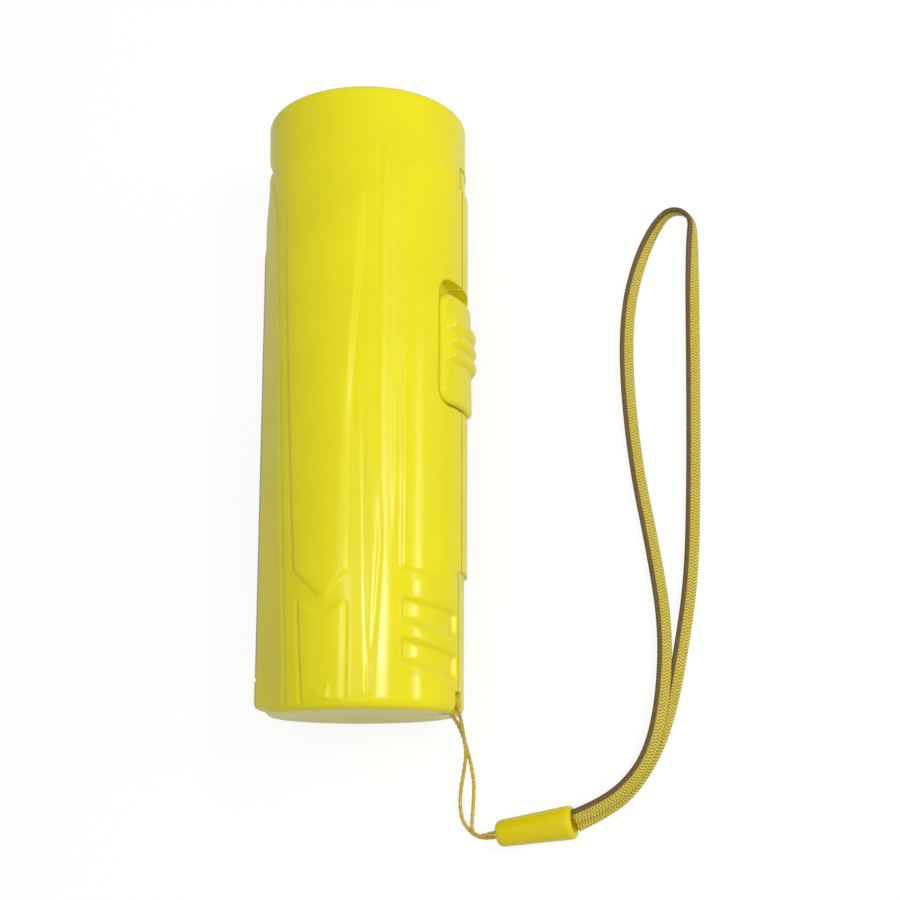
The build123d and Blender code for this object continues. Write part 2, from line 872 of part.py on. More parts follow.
def gear_face(teeth, module, shift, turn=0.0):
    """The outline of a spur gear with involute flanks, as a face at the origin."""
    pressure = radians(pressure_angle)
    pitch = module * teeth / 2
    base = pitch * cos(pressure)
    tip = pitch + module * (1 + shift) - backlash / 2
    root = pitch - module * (1.25 - shift)

    def half_angle(radius):
        """Half the tooth's angle at a radius, in radians."""
        lean = acos(min(1, base / radius))
        at_pitch = (pi / 2 + 2 * shift * tan(pressure)) / teeth - backlash / (2 * pitch)
        return at_pitch + involute(pressure) - involute(lean)

    start = max(root, base)
    flank = [start, (start + tip) / 2, tip]
    points = [(half_angle(start), root * 0.98)] + [(half_angle(r), r) for r in flank]
    outline = [(r * cos(a), r * sin(a)) for a, r in points]
    outline += [(x, -y) for x, y in reversed(outline)]
    with BuildSketch() as tooth:
        with BuildLine():
            Polyline(*outline, close=True)
        make_face()
    with BuildSketch() as face:
        Circle(root)
        with PolarLocations(0, teeth, start_angle=turn):
            add(tooth.sketch)
    return face.sketch


def gear(y, z0, z1, face):
    """A gear standing at a place along the torch, from its face."""
    with BuildPart() as wheel:
        with BuildSketch(Plane((0, y, z0))):
            add(face)
        extrude(amount=z1 - z0)
    return wheel.part


half_pitch = 180 / second_pinion_teeth
crank_face = gear_face(crank_teeth, first_module, -pinion_shift)
second_pinion_face = gear_face(second_pinion_teeth, first_module, pinion_shift, half_pitch)
wheel_face = gear_face(wheel_teeth, fine_module, -pinion_shift)
small_pinion_face = gear_face(small_pinion_teeth, fine_module, pinion_shift)
pin_bore = gear_pin_radius + running_gap

with BuildPart() as crank_gear:
    add(gear(crank_y, crank_gear_z, gear_top, crank_face))
    add(keyed(crank_shaft_radius, crank_gear_z, gear_top), mode=Mode.SUBTRACT)
save(crank_gear.part, "crank_gear")

with BuildPart() as second_gear:
    add(gear(second_y, crank_gear_z + part_gap, second_wheel_z, second_pinion_face))
    add(gear(second_y, second_wheel_z, second_wheel_z + wheel_width, wheel_face))
    add(post(0, second_y, pin_bore, 0, plate_top), mode=Mode.SUBTRACT)
save(second_gear.part, "second_gear")

third_start = second_wheel_z - layer_gap + part_gap
with BuildPart() as third_gear:
    add(gear(third_y, third_start, third_wheel_z, small_pinion_face))
    add(gear(third_y, third_wheel_z, third_wheel_z + wheel_width, wheel_face))
    add(post(0, third_y, pin_bore, 0, plate_top), mode=Mode.SUBTRACT)
save(third_gear.part, "third_gear")

pin_floor = inner_floor - deck_wall / 2
gear_pin_parts = [post(0, y, gear_pin_radius, pin_floor, plate_top) for y in (second_y, third_y)]
save(Compound(children=gear_pin_parts), "gear_pins")

rotor_pinion_z = third_wheel_z - layer_gap
with BuildPart() as rotor_pinion:
    add(gear(rotor_y, rotor_pinion_z, plate_z - 2 * part_gap, small_pinion_face))
    add(post(0, rotor_y, gear_pin_radius, 0, plate_top), mode=Mode.SUBTRACT)
save(rotor_pinion.part, "rotor_pinion")

can_top = dynamo_z + dynamo_height
save(post(0, rotor_y, gear_pin_radius, pin_floor + part_gap, can_top), "rotor_shaft")

with BuildPart() as gearbox_plate:
    with BuildSketch(Plane.XY.offset(plate_z)):
        plate_back = rotor_y - dynamo_radius - plate_margin
        plate_front = front_pillar_y + pillar_radius
        with Locations((0, (plate_back + plate_front) / 2)):
            RectangleRounded(plate_width, plate_front - plate_back, plate_corner)
        with Locations(*pillar_places):
            Circle(pillar_radius + plate_margin)
        with Locations((0, rear_pillar_y)):
            Rectangle(2 * rear_pillar_x, pillar_radius * 2)
    extrude(amount=plate_thickness)
    for y in (second_y, third_y):
        add(post(0, y, gear_pin_radius, 0, can_top), mode=Mode.SUBTRACT)
    add(post(0, rotor_y, gear_pin_radius + magnet_gap, 0, can_top), mode=Mode.SUBTRACT)
    add(post(0, crank_y, crank_shaft_radius + running_gap, 0, can_top), mode=Mode.SUBTRACT)
    for x, y in pillar_places:
        add(post(x, y, screw_radius, 0, can_top), mode=Mode.SUBTRACT)
save(gearbox_plate.part, "gearbox_plate")

plate_screw_parts = []
for x, y in pillar_places:
    head = post(x, y, plate_screw_head_radius, plate_top, plate_top + plate_screw_head_height)
    plate_screw_parts.append(post(x, y, screw_radius, plate_z - plate_screw_depth, plate_top) + head)
save(Compound(children=plate_screw_parts), "plate_screws")

with BuildPart() as dynamo_can:
    add(post(0, rotor_y, dynamo_radius, dynamo_z, can_top))
    add(post(0, rotor_y, dynamo_radius - can_wall, dynamo_z - 1, can_top - can_wall), mode=Mode.SUBTRACT)
    add(post(0, rotor_y, gear_pin_radius + running_gap, 0, 2 * can_top), mode=Mode.SUBTRACT)
save(dynamo_can.part, "dynamo_can")

coil_radius = dynamo_radius - can_wall
with BuildPart() as dynamo_coil:
    add(post(0, rotor_y, coil_radius, dynamo_z, can_top - can_wall - magnet_gap))
    add(post(0, rotor_y, magnet_radius + coil_gap, 0, 2 * can_top), mode=Mode.SUBTRACT)
save(dynamo_coil.part, "dynamo_coil")

with BuildPart() as rotor_magnet:
    add(post(0, rotor_y, magnet_radius, dynamo_z + magnet_gap, can_top - can_wall - magnet_gap))
    add(post(0, rotor_y, gear_pin_radius, 0, 2 * can_top), mode=Mode.SUBTRACT)
save(rotor_magnet.part, "rotor_magnet")


# ---------------------------------------------------------------- power and boards
def along(radius, y0, y1):
    """A cylinder along the torch at the cells' axis."""
    with BuildPart() as piece:
        with BuildSketch(Plane.XZ.offset(-y0)):
            with Locations((0, cell_axis_height)):
                Circle(radius)
        extrude(amount=-(y1 - y0))
    return piece.part


cells_start = battery_y - cell_count * cell_length / 2
cells_end = battery_y + cell_count * cell_length / 2
cell_parts = [
    along(cell_radius, cells_start + i * cell_length, cells_start + (i + 1) * cell_length)
    for i in range(cell_count)
]
save(Compound(children=cell_parts), "battery_cells")

wrap_radius = cell_radius + cell_wrap
sleeve = along(wrap_radius, cells_start, cells_end)
save(sleeve - along(cell_radius, cells_start, cells_end), "battery_wrap")

board_back = battery_y - board_length / 2
board_top = board_z + board_thickness
save(
    block(-board_width / 2, board_width / 2, board_back, board_back + board_length, board_z, board_top),
    "main_board",
)
save(
    block(
        -cradle_width / 2,
        cradle_width / 2,
        battery_y - cradle_length / 2,
        battery_y + cradle_length / 2,
        board_top,
        cell_axis_height - cell_radius * 0.55,
    )
    - sleeve,
    "battery_cradle",
)
contact_parts = [
    block(-contact_width / 2, contact_width / 2, y0, y0 + contact_thickness, board_top, cell_axis_height)
    for y0 in (cells_start - contact_thickness, cells_end)
]
save(Compound(children=contact_parts), "battery_contacts")

# ---------------------------------------------------------------- switch
switch_face = pad_back - part_gap
lever_back = slider_y - lever_width / 2
with BuildPart() as switch_body:
    add(
        block(
            switch_face - switch_body_depth,
            switch_face,
            slider_y - switch_body_length / 2 + slider_travel / 2,
            slider_y + switch_body_length / 2 + slider_travel / 2,
            axis_height - switch_body_width / 2,
            axis_height + switch_body_width / 2,
        )
    )
    add(
        block(
            switch_face - lever_groove,
            switch_face,
            lever_back - lever_play,
            lever_back + lever_width + slider_travel + lever_play,
            axis_height - lever_width / 2 - part_gap,
            axis_height + lever_width / 2 + part_gap,
        ),
        mode=Mode.SUBTRACT,
    )
save(switch_body.part, "switch_body")

lever_tip = pad_back + lever_reach
switch_lever = block(
    switch_face - lever_groove + part_gap,
    lever_tip,
    lever_back,
    lever_back + lever_width,
    axis_height - lever_width / 2,
    axis_height + lever_width / 2,
)
save(switch_lever, "switch_lever")

board_front_x = switch_face - switch_body_depth
save(
    block(
        board_front_x - switch_board_thickness,
        board_front_x,
        slider_y - switch_board_back,
        slider_y + switch_board_front,
        axis_height - switch_board_low,
        axis_height + switch_board_high,
    ),
    "switch_board",
)

with BuildPart() as switch_slider:
    with BuildSketch(Plane.YZ.offset(pocket_floor + part_gap)):
        with Locations((slider_y, axis_height)):
            RectangleRounded(slider_length, 2 * slider_half_width, slider_round)
    extrude(amount=head_radius)
    add(body_form(slider_rise), mode=Mode.INTERSECT)
    crown = switch_slider.faces().filter_by(GeomType.CONE)
    fillet(crown.edges(), slider_edge)
    for count in range(grip_rib_count):
        y = slider_y + (count - (grip_rib_count - 1) / 2) * grip_rib_pitch
        groove_x = slider_radius + slider_rise
        with Locations((groove_x, y, axis_height)):
            Box(2 * grip_groove_depth, grip_groove, 4 * slider_half_width, mode=Mode.SUBTRACT)
    add(
        block(
            pad_back + lever_reach / 2,
            pocket_floor + 2 * part_gap,
            slider_y - stem_length / 2,
            slider_y + stem_length / 2,
            axis_height - stem_width / 2,
            axis_height + stem_width / 2,
        )
    )
    add(switch_lever, mode=Mode.SUBTRACT)
save(switch_slider.part, "switch_slider")

# ---------------------------------------------------------------- side lamp
floor_x = lamp_face - lamp_depth
with BuildPart() as side_lamp_tray:
    add(
        block(
            -lamp_face,
            -tray_back,
            lamp_start - lamp_lip,
            lamp_end + lamp_lip,
            axis_height - tray_half,
            axis_height + tray_half,
        )
    )
    with BuildSketch(Plane.YZ.offset(-lamp_face)):
        with Locations(((lamp_start + lamp_end) / 2, axis_height)):
            RectangleRounded(lamp_end - lamp_start, 2 * lamp_half_width, cover_corner)
    extrude(amount=diffuser_seat, mode=Mode.SUBTRACT)
    add(
        block(
            -seat_x,
            -floor_x,
            lamp_start + lamp_ledge,
            lamp_end - lamp_ledge,
            axis_height - lamp_half_width + lamp_ledge,
            axis_height + lamp_half_width - lamp_ledge,
        ),
        mode=Mode.SUBTRACT,
    )
save(side_lamp_tray.part, "side_lamp_tray")

cover_start = lamp_start + part_gap
cover_end = lamp_end - part_gap
with BuildPart() as side_diffuser:
    with BuildSketch(Plane.XZ.offset(-cover_start)):
        with BuildLine():
            cover_profile()
        make_face()
    extrude(amount=-(cover_end - cover_start))
    # the crown runs down to the tray's rim at the head end
    with BuildSketch(Plane.XY.offset(axis_height)):
        with BuildLine():
            Polyline(
                (-seat_x + diffuser_seat, cover_start),
                (-side_reach - 1, cover_start),
                (-side_reach - 1, cover_end - diffuser_slope),
                (-lamp_face, cover_end),
                (-seat_x + diffuser_seat, cover_end),
                close=True,
            )
        make_face()
    extrude(amount=band_foot, both=True, mode=Mode.INTERSECT)
    # hollow underneath, over the lamps
    with BuildSketch(Plane.XZ.offset(-cover_start - diffuser_wall)):
        with BuildLine():
            cover_hollow()
        make_face()
    extrude(amount=-(cover_end - diffuser_slope - cover_start - diffuser_wall), mode=Mode.SUBTRACT)
    with BuildSketch(Plane.YZ.offset(-side_reach - 1)):
        with Locations(((cover_start + cover_end) / 2, axis_height)):
            RectangleRounded(
                cover_end - cover_start, 2 * (lamp_half_width - part_gap), cover_corner
            )
    extrude(amount=side_reach, mode=Mode.INTERSECT)
save(side_diffuser.part, "side_diffuser")

board_face = floor_x + side_board_thickness
save(
    block(
        -board_face,
        -floor_x,
        lamp_start + lamp_ledge,
        lamp_end - lamp_ledge,
        axis_height - lamp_half_width + 2 * lamp_ledge,
        axis_height + lamp_half_width - 2 * lamp_ledge,
    ),
    "side_led_board",
)
led_span = lamp_end - lamp_start - diffuser_slope - 4 * side_led_size
led_parts = []
for count in range(side_led_count):
    y = lamp_start + 2 * side_led_size + led_span * count / (side_led_count - 1)
    led_parts.append(
        block(
            -board_face - side_led_height,
            -board_face,
            y - side_led_size / 2,
            y + side_led_size / 2,
            axis_height - side_led_size / 2,
            axis_height + side_led_size / 2,
        )
    )
save(Compound(children=led_parts), "side_leds")

# ---------------------------------------------------------------- strap
save(
    post(
        eye_x,
        eye_y,
        eye_pin_radius,
        axis_height - eye_pin_length / 2,
        axis_height + eye_pin_length / 2,
    ),
    "strap_pin",
)

ferrule_small = Vector(21.7, -84.1, ferrule_small_radius)
ferrule_big = Vector(37.25, -82.0, ferrule_big_radius)
ferrule_along = (ferrule_big - ferrule_small).normalized()
ferrule_plane = Plane(origin=ferrule_small, x_dir=(0, 0, 1), z_dir=ferrule_along)
with BuildPart() as strap_ferrule:
    with BuildSketch(ferrule_plane):
        Circle(ferrule_small_radius)
    with BuildSketch(ferrule_plane.offset(ferrule_length)):
        Circle(ferrule_big_radius)
    loft()
save(strap_ferrule.part, "strap_ferrule")


def cord_tube(points, diameter, name):
    """A cord along runs joined by the largest tangent arcs that the runs allow."""
    route = [Vector(*point) for point in points]
    radii = []
    for before, corner, after in zip(route, route[1:], route[2:]):
        turn = radians((corner - before).get_angle(after - corner))
        shorter = min((corner - before).length, (after - corner).length)
        radii.append(0.45 * shorter / tan(turn / 2))
    print(name, "least radius", round(min(radii), 1), "radii", [round(r, 1) for r in radii])
    with BuildPart() as tube:
        with BuildLine() as path:
            FilletPolyline(*route, radius=radii)
        with BuildSketch(Plane(origin=route[0], z_dir=route[1] - route[0])):
            Circle(diameter / 2)
        sweep()
    length = sum(edge.length for edge in path.edges())
    section = pi * diameter**2 / 4
    print(name, "length", round(length, 1), "volume ratio", round(tube.part.volume / section / length, 4))
    save(tube.part, name)


# The thin cord: out of the ferrule's small end, up round the pin in the tail and back.
thin_route = [
    (21.7, -84.45, 2.0),
    (18.2, -85.0, 1.2),
    (14.6, -84.6, 0.5),
    (12.6, -81.3, 0.5),
    (13.6, -77.2, 1.5),
    (15.5, -72.6, 5.2),
    (17.9, -67.4, 11.4),
    (18.8, -63.0, 17.4),
    (18.6, -58.8, 18.5),
    (16.2, -58.8, 18.5),
    (16.1, -63.0, 17.2),
    (15.6, -67.4, 11.0),
    (15.9, -72.6, 3.5),
    (16.6, -77.4, 0.7),
    (16.1, -81.4, 0.5),
    (18.2, -83.7, 1.6),
    (21.7, -83.7, 3.1),
]
cord_tube(thin_route, thin_cord_diameter, "strap_thin_cord")

# The flat braid: a long hand loop that leaves the ferrule's big end and comes back to it.
braid_route = [
    (37.2, -81.1, 3.9),
    (41.5, -79.6, 3.6),
    (47.6, -75.8, 3.0),
    (52.4, -69.6, 2.7),
    (55.2, -59.5, 2.6),
    (56.2, -45.5, 1.5),
    (54.4, -30.5, 0.9),
    (51.4, -12.0, 0.9),
    (50.2, 8.0, 0.9),
    (51.2, 22.0, 0.9),
    (54.3, 32.0, 0.9),
    (57.5, 37.8, 0.9),
    (59.8, 40.5, 0.9),
    (61.5, 41.2, 0.9),
    (63.3, 40.9, 0.9),
    (64.7, 39.8, 0.9),
    (65.5, 38.2, 0.9),
    (65.3, 34.7, 0.9),
    (64.9, 28.0, 0.9),
    (64.4, 16.0, 0.9),
    (63.9, 3.0, 0.9),
    (62.9, -18.0, 0.9),
    (61.6, -36.0, 0.9),
    (58.8, -50.5, 0.9),
    (56.4, -60.5, 0.9),
    (53.3, -68.8, 0.9),
    (48.2, -76.2, 1.0),
    (42.6, -80.2, 1.6),
    (37.4, -82.5, 2.3),
]
cord_tube(braid_route, braid_diameter, "strap_braid")
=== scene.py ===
import json
from math import cos, pi, radians, sin

import bmesh
import bpy
import numpy as np
from mathutils import Matrix, Vector


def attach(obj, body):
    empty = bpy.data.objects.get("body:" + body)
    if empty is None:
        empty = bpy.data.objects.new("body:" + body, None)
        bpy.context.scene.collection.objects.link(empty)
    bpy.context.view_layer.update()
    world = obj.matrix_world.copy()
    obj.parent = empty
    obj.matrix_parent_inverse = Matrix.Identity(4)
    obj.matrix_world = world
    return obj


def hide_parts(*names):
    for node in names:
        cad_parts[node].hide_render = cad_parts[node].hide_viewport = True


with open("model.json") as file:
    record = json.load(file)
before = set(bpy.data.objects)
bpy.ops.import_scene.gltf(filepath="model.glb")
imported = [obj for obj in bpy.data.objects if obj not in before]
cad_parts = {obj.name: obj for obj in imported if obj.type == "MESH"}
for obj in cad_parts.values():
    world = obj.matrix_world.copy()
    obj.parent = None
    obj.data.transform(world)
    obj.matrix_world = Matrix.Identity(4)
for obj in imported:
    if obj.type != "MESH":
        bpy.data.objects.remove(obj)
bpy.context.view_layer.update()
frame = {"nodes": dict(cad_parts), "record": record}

MM = 0.001
scene = bpy.context.scene
nodes = frame["nodes"]
AXIS_Z = 18.7
HALF_LENGTH = 62.0
HEAD_RADIUS = 20.8
TAIL_RADIUS = 19.2

# ---------------------------------------------------------------- camera: fitted to the outline
RIGHT = Vector((0.94602405, -0.00812724, -0.32399453))
UP = Vector((0.08928098, 0.96754064, 0.23641917))
BACK = Vector((0.31155643, -0.25258477, 0.91604232))
camera_data = bpy.data.cameras.new("camera")
camera_data.sensor_width = 36.0
camera_data.lens = 1496.42 / 900 * 36
camera_data.clip_start = 0.01
camera = bpy.data.objects.new("camera", camera_data)
scene.collection.objects.link(camera)
rotation = Matrix((RIGHT, UP, BACK)).transposed().to_4x4()
camera.matrix_world = Matrix.Translation(Vector((110.39, -85.3, 290.57)) * MM) @ rotation
scene.camera = camera

# ---------------------------------------------------------------- light
scene.view_settings.view_transform = "Standard"


def softbox(name, direction, distance, size_across, size_along, power, target=(0, 0, AXIS_Z)):
    """A rectangular lamp that looks at the torch, its long side along Y."""
    data = bpy.data.lights.new(name, "AREA")
    data.shape = "RECTANGLE"
    data.size, data.size_y = size_across * MM, size_along * MM
    data.energy = power
    lamp = bpy.data.objects.new(name, data)
    scene.collection.objects.link(lamp)
    out = Vector(direction).normalized()
    along = Vector((0, 1, 0)) - out * out.y
    along.normalize()
    across = along.cross(out)
    turn = Matrix((across, along, out)).transposed().to_4x4()
    lamp.matrix_world = Matrix.Translation((Vector(target) + out * distance) * MM) @ turn
    return lamp


def around(turn):
    """The direction at an angle round the torch from straight up, towards the switch."""
    return (sin(radians(turn)), 0, cos(radians(turn)))


# narrow lamps, each mirrored as a streak along the body: name, turn, middle along Y, width, length, watts
STREAK_DISTANCE = 620
STREAKS = (
    ("key", 41, 18, 100, 70, 0.77),
    ("key_next", 40, 125, 90, 120, 0.22),
    ("key_far", 38, 245, 100, 110, 0.08),
    ("side", 82, 15, 50, 75, 0.36),
    ("side_next", 82, 125, 55, 120, 0.12),
    ("top", 2, 0, 50, 110, 0.22),
)
FILL_DISTANCE, FILL_SIZE, FILL_WATTS = 900, 640, 1.4
for name, turn, middle, width, length, watts in STREAKS:
    softbox(name, around(turn), STREAK_DISTANCE, width, length, watts, (0, middle, AXIS_Z))
softbox("fill", (0.2, -0.15, 1.0), FILL_DISTANCE, FILL_SIZE, FILL_SIZE, FILL_WATTS)

# the world lights the torch from above and a little from the switch's side
WORLD_SIDE = Vector((0.4, -0.1, 0.9)).normalized()
WORLD_LOW, WORLD_HIGH = 0.13, 0.54

world = bpy.data.worlds.new("world")
scene.world = world
world.use_nodes = True
tree = world.node_tree
tree.nodes.clear()


def world_node(kind, **settings):
    node = tree.nodes.new("ShaderNode" + kind)
    for key, value in settings.items():
        setattr(node, key, value)
    return node


# a soft gradient for what it lights, and plain white where a camera, mirror or glass ray sees it
place = world_node("TexCoord")
facing = world_node("VectorMath", operation="DOT_PRODUCT")
facing.inputs[1].default_value = WORLD_SIDE
level = world_node("MapRange")
for key, value in (("From Min", -0.5), ("From Max", 1.0), ("To Min", WORLD_LOW), ("To Max", WORLD_HIGH)):
    level.inputs[key].default_value = value
lit = world_node("Background")
lit.inputs["Color"].default_value = (1.0, 0.99, 0.97, 1)
seen = world_node("Background")
path = world_node("LightPath")
either = world_node("Math", operation="MAXIMUM")
any_ray = world_node("Math", operation="MAXIMUM")
mix = world_node("MixShader")
out = world_node("OutputWorld")
for source, target in (
    (place.outputs["Generated"], facing.inputs[0]),
    (facing.outputs["Value"], level.inputs["Value"]),
    (level.outputs[0], lit.inputs["Strength"]),
    (path.outputs["Is Camera Ray"], either.inputs[0]),
    (path.outputs["Is Glossy Ray"], either.inputs[1]),
    (either.outputs[0], any_ray.inputs[0]),
    (path.outputs["Is Transmission Ray"], any_ray.inputs[1]),
    (any_ray.outputs[0], mix.inputs[0]),
    (lit.outputs[0], mix.inputs[1]),
    (seen.outputs[0], mix.inputs[2]),
    (mix.outputs[0], out.inputs["Surface"]),
):
    tree.links.new(source, target)


# ---------------------------------------------------------------- materials
class Nodes:
    """A short way to build a material's node tree."""

    def __init__(self, name):
        self.material = bpy.data.materials.new(name)
        self.material.use_nodes = True
        self.tree = self.material.node_tree
        self.tree.nodes.clear()
        self.place = self.make("TexCoord").outputs["Object"]

    def make(self, kind, settings=(), **inputs):
        node = self.tree.nodes.new("ShaderNode" + kind)
        for key, value in dict(settings).items():
            setattr(node, key, value)
        for key, value in inputs.items():
            self.put(node.inputs[key.replace("_", " ")], value)
        return node

    def put(self, socket, value):
        if hasattr(value, "is_output") and value.is_output:
            self.tree.links.new(value, socket)
        else:
            socket.default_value = value

    def math(self, operation, *values):
        node = self.make("Math", {"operation": operation})
        for socket, value in zip(node.inputs, values):
            self.put(socket, value)
        return node.outputs[0]

    def noise(self, scale, detail=2.0, rough=0.5, vector=None):
        node = self.make("TexNoise", Scale=scale, Detail=detail, Roughness=rough)
        self.put(node.inputs["Vector"], vector or self.place)
        return node.outputs["Fac"]

    def ramp(self, value, low, high, start=0.35, end=0.65):
        """A value between start and end read as low to high."""
        node = self.make("MapRange", Value=value, From_Min=start, From_Max=end, To_Min=low, To_Max=high)
        return node.outputs[0]

    def blend(self, share, first, second):
        node = self.make("Mix", {"data_type": "RGBA"})
        self.put(node.inputs["Factor"], share)
        self.put(node.inputs[6], first)
        self.put(node.inputs[7], second)
        return node.outputs[2]

    def bump(self, height, strength, distance, normal=None):
        node = self.make("Bump", Strength=strength, Distance=distance * MM, Height=height)
        if normal:
            self.put(node.inputs["Normal"], normal)
        return node.outputs[0]

    def finish(self, **inputs):
        shader = self.make("BsdfPrincipled")
        for key, value in inputs.items():
            self.put(shader.inputs[key.replace("_", " ")], value)
        end = self.make("OutputMaterial")
        self.tree.links.new(shader.outputs[0], end.inputs["Surface"])
        return self.material


def rgba(color, scale=1.0):
    return (*(min(1.0, c * scale) for c in color), 1.0)


def srgb(r, g, b):
    """A colour written as it is seen, 0 to 255, as the linear values that shaders take."""
    return tuple((c / 255 / 12.92) if c < 11 else ((c / 255 + 0.055) / 1.055) ** 2.4 for c in (r, g, b))


def moulded(name, color, rough=0.2, edge=0.5, grain=0.02, painted_edge_highlight=0.25):
    """Moulded plastic: rounded edges, slow waviness, fine grain, and a painted highlight that lightens the
    rounded edges.
    """
    n = Nodes(name)
    soft = n.make("Bevel", {"samples": 6}, Radius=edge * MM).outputs[0]
    true = n.make("NewGeometry").outputs["Normal"]
    dot = n.make("VectorMath", {"operation": "DOT_PRODUCT"})
    n.put(dot.inputs[0], soft)
    n.put(dot.inputs[1], true)
    # painted highlight: where the rounded edges turn away, the colour is lightened
    corner = n.ramp(dot.outputs["Value"], painted_edge_highlight, 0.0, 0.86, 0.995)
    cloud = n.noise(70, 3)
    body = n.blend(n.ramp(cloud, 0, 1), rgba(color, 0.975), rgba(color, 1.02))
    colour = n.blend(corner, body, rgba(color, 1.18))
    fingers = n.noise(240, 4, 0.6)
    roughness = n.ramp(fingers, rough * 0.85, rough * 1.25, 0.3, 0.7)
    wave = n.bump(n.noise(95, 1), 0.35, 0.12, soft)
    fine = n.bump(n.noise(2600, 2), grain * 10, 0.012, wave)
    return n.finish(Base_Color=colour, Roughness=roughness, Normal=fine, Specular_IOR_Level=0.25)


BODY = srgb(236, 225, 18)
FERRULE = srgb(232, 212, 16)
mats = {}
mats["body_yellow"] = moulded("body_yellow", BODY, 0.18, 0.55)
mats["ferrule_yellow"] = moulded("ferrule_yellow", FERRULE, 0.16, 0.3)
mats["black_plastic"] = moulded("black_plastic", (0.025, 0.025, 0.027), 0.42, 0.25, 0.05)
mats["gear_nylon"] = moulded("gear_nylon", srgb(232, 230, 220), 0.45, 0.12, 0.04)
mats["cell_wrap"] = moulded("cell_wrap", srgb(40, 120, 72), 0.24, 0.2)


def metal(name, color, rough, stretch=(1, 1, 1), edge=0.15):
    """Metal with fine drawn or turned marks along one direction."""
    n = Nodes(name)
    soft = n.make("Bevel", {"samples": 4}, Radius=edge * MM).outputs[0]
    scaled = n.make("Mapping")
    n.put(scaled.inputs["Vector"], n.place)
    scaled.inputs["Scale"].default_value = stretch
    marks = n.noise(1800, 3, 0.6, scaled.outputs[0])
    colour = n.blend(n.noise(160, 3), rgba(color, 0.9), rgba(color, 1.08))
    return n.finish(Base_Color=colour, Metallic=1.0, Roughness=n.ramp(marks, rough * 0.7, rough * 1.4),
                    Normal=n.bump(marks, 0.25, 0.01, soft))


mats["steel"] = metal("steel", (0.6, 0.6, 0.61), 0.28, (1, 1, 0.1))
mats["bush_brass"] = metal("bush_brass", (0.78, 0.56, 0.26), 0.26, (1, 1, 0.1))
mats["copper_wire"] = metal("copper_wire", (0.72, 0.32, 0.16), 0.35, (0.1, 0.1, 4))
mats["reflector_chrome"] = metal("reflector_chrome", (0.92, 0.92, 0.93), 0.07, (1, 1, 1))
mats["magnet_dark"] = metal("magnet_dark", (0.16, 0.16, 0.17), 0.4)

n = Nodes("circuit_board")
traces = n.make("TexBrick", Scale=420.0)
n.put(traces.inputs["Vector"], n.place)
colour = n.blend(traces.outputs["Fac"], (0.012, 0.13, 0.045, 1), (0.03, 0.24, 0.09, 1))
mats["circuit_board"] = n.finish(Base_Color=colour, Roughness=n.ramp(n.noise(900), 0.25, 0.4),
                                 Normal=n.bump(traces.outputs["Fac"], 0.3, 0.03))

n = Nodes("led_white")
colour = n.blend(n.ramp(n.noise(700, 3), 0, 1), (0.92, 0.86, 0.5, 1), (0.97, 0.94, 0.74, 1))
mats["led_white"] = n.finish(Base_Color=colour, Roughness=0.18, Coat_Weight=0.6)

n = Nodes("lamp_cover")
# the grey colour is partly painted shade on white plastic and partly the dark inside seen through it
cloud = n.ramp(n.noise(55, 3), 0, 1)
colour = n.blend(cloud, rgba(srgb(176, 181, 183)), rgba(srgb(188, 192, 194)))
soft = n.make("Bevel", {"samples": 6}, Radius=0.4 * MM).outputs[0]
mats["lamp_cover"] = n.finish(Base_Color=colour, Roughness=n.ramp(n.noise(300, 3), 0.28, 0.42),
                              Transmission_Weight=0.12, IOR=1.46, Subsurface_Weight=0.25,
                              Subsurface_Scale=0.002, Normal=n.bump(n.noise(2200, 2), 0.12, 0.01, soft))

n = Nodes("clear_lens")
haze = n.ramp(n.noise(260, 4, 0.6), 0.02, 0.09)
mats["clear_lens"] = n.finish(Base_Color=(0.97, 0.985, 0.99, 1), Roughness=haze,
                              Transmission_Weight=1.0, IOR=1.49)

for row in frame["record"]["subparts"]:
    node, slot = nodes[row["node"]], row["material_slot"]
    if slot in mats:
        node.data.materials.clear()
        node.data.materials.append(mats[slot])


# ---------------------------------------------------------------- the upper moulding's soft relief
RIM_ROUND = 1.6
ARC = 0.35  # mm round the body for each degree
BAND_RIM = (19.0, 9.0)  # the lamp band's rim: out from the axis, and up from it
BAND_TURN = -64.65
SKIN_HEAD = 38.7  # from here to the head the moulding also covers the lamp's side
# the switch pocket's middle, half length, half width and corner, in the carrier and in the skin over it
CARRIER_POCKET = (10.1, 12.9, 7.8, 2.9)
POCKET = (10.1, 13.1, 8.7, 3.1)
UNDER = 1.3  # how far the carrier lies below the skin


def body_radius(y):
    return TAIL_RADIUS + (HEAD_RADIUS - TAIL_RADIUS) * (y + HALF_LENGTH) / (2 * HALF_LENGTH)


def base_radius(y):
    """The plain moulding, with its two rounded ends."""
    past = np.clip(np.abs(y) - (HALF_LENGTH - RIM_ROUND), 0, RIM_ROUND)
    return body_radius(y) - RIM_ROUND + np.sqrt(RIM_ROUND**2 - past**2)


def rise(x, soft=1.0):
    """0 to 1 over a soft edge centred on 0."""
    t = np.clip(x / soft + 0.5, 0, 1)
    return t * t * (3 - 2 * t)


def along(table, at):
    """A line given by (y, turn) pairs, read at any y."""
    return np.interp(at, [a for a, b in table], [b for a, b in table])


def away(points, turn, y):
    """Distance in mm from a drawn line of (turn, y) points."""
    px, py = turn * ARC, y
    best = np.full(np.shape(turn), 99.0)
    for (t0, y0), (t1, y1) in zip(points, points[1:]):
        ax, ay, bx, by = t0 * ARC, y0, t1 * ARC, y1
        run = (bx - ax) ** 2 + (by - ay) ** 2
        share = np.clip(((px - ax) * (bx - ax) + (py - ay) * (by - ay)) / run, 0, 1)
        best = np.minimum(best, np.hypot(px - ax - share * (bx - ax), py - ay - share * (by - ay)))
    return best


def bell(x, width):
    """1 at x = 0, falling off softly to both sides."""
    return np.exp(-((x / width) ** 2))


def groove(points, turn, y, depth, width):
    return -depth * bell(away(points, turn, y), width)


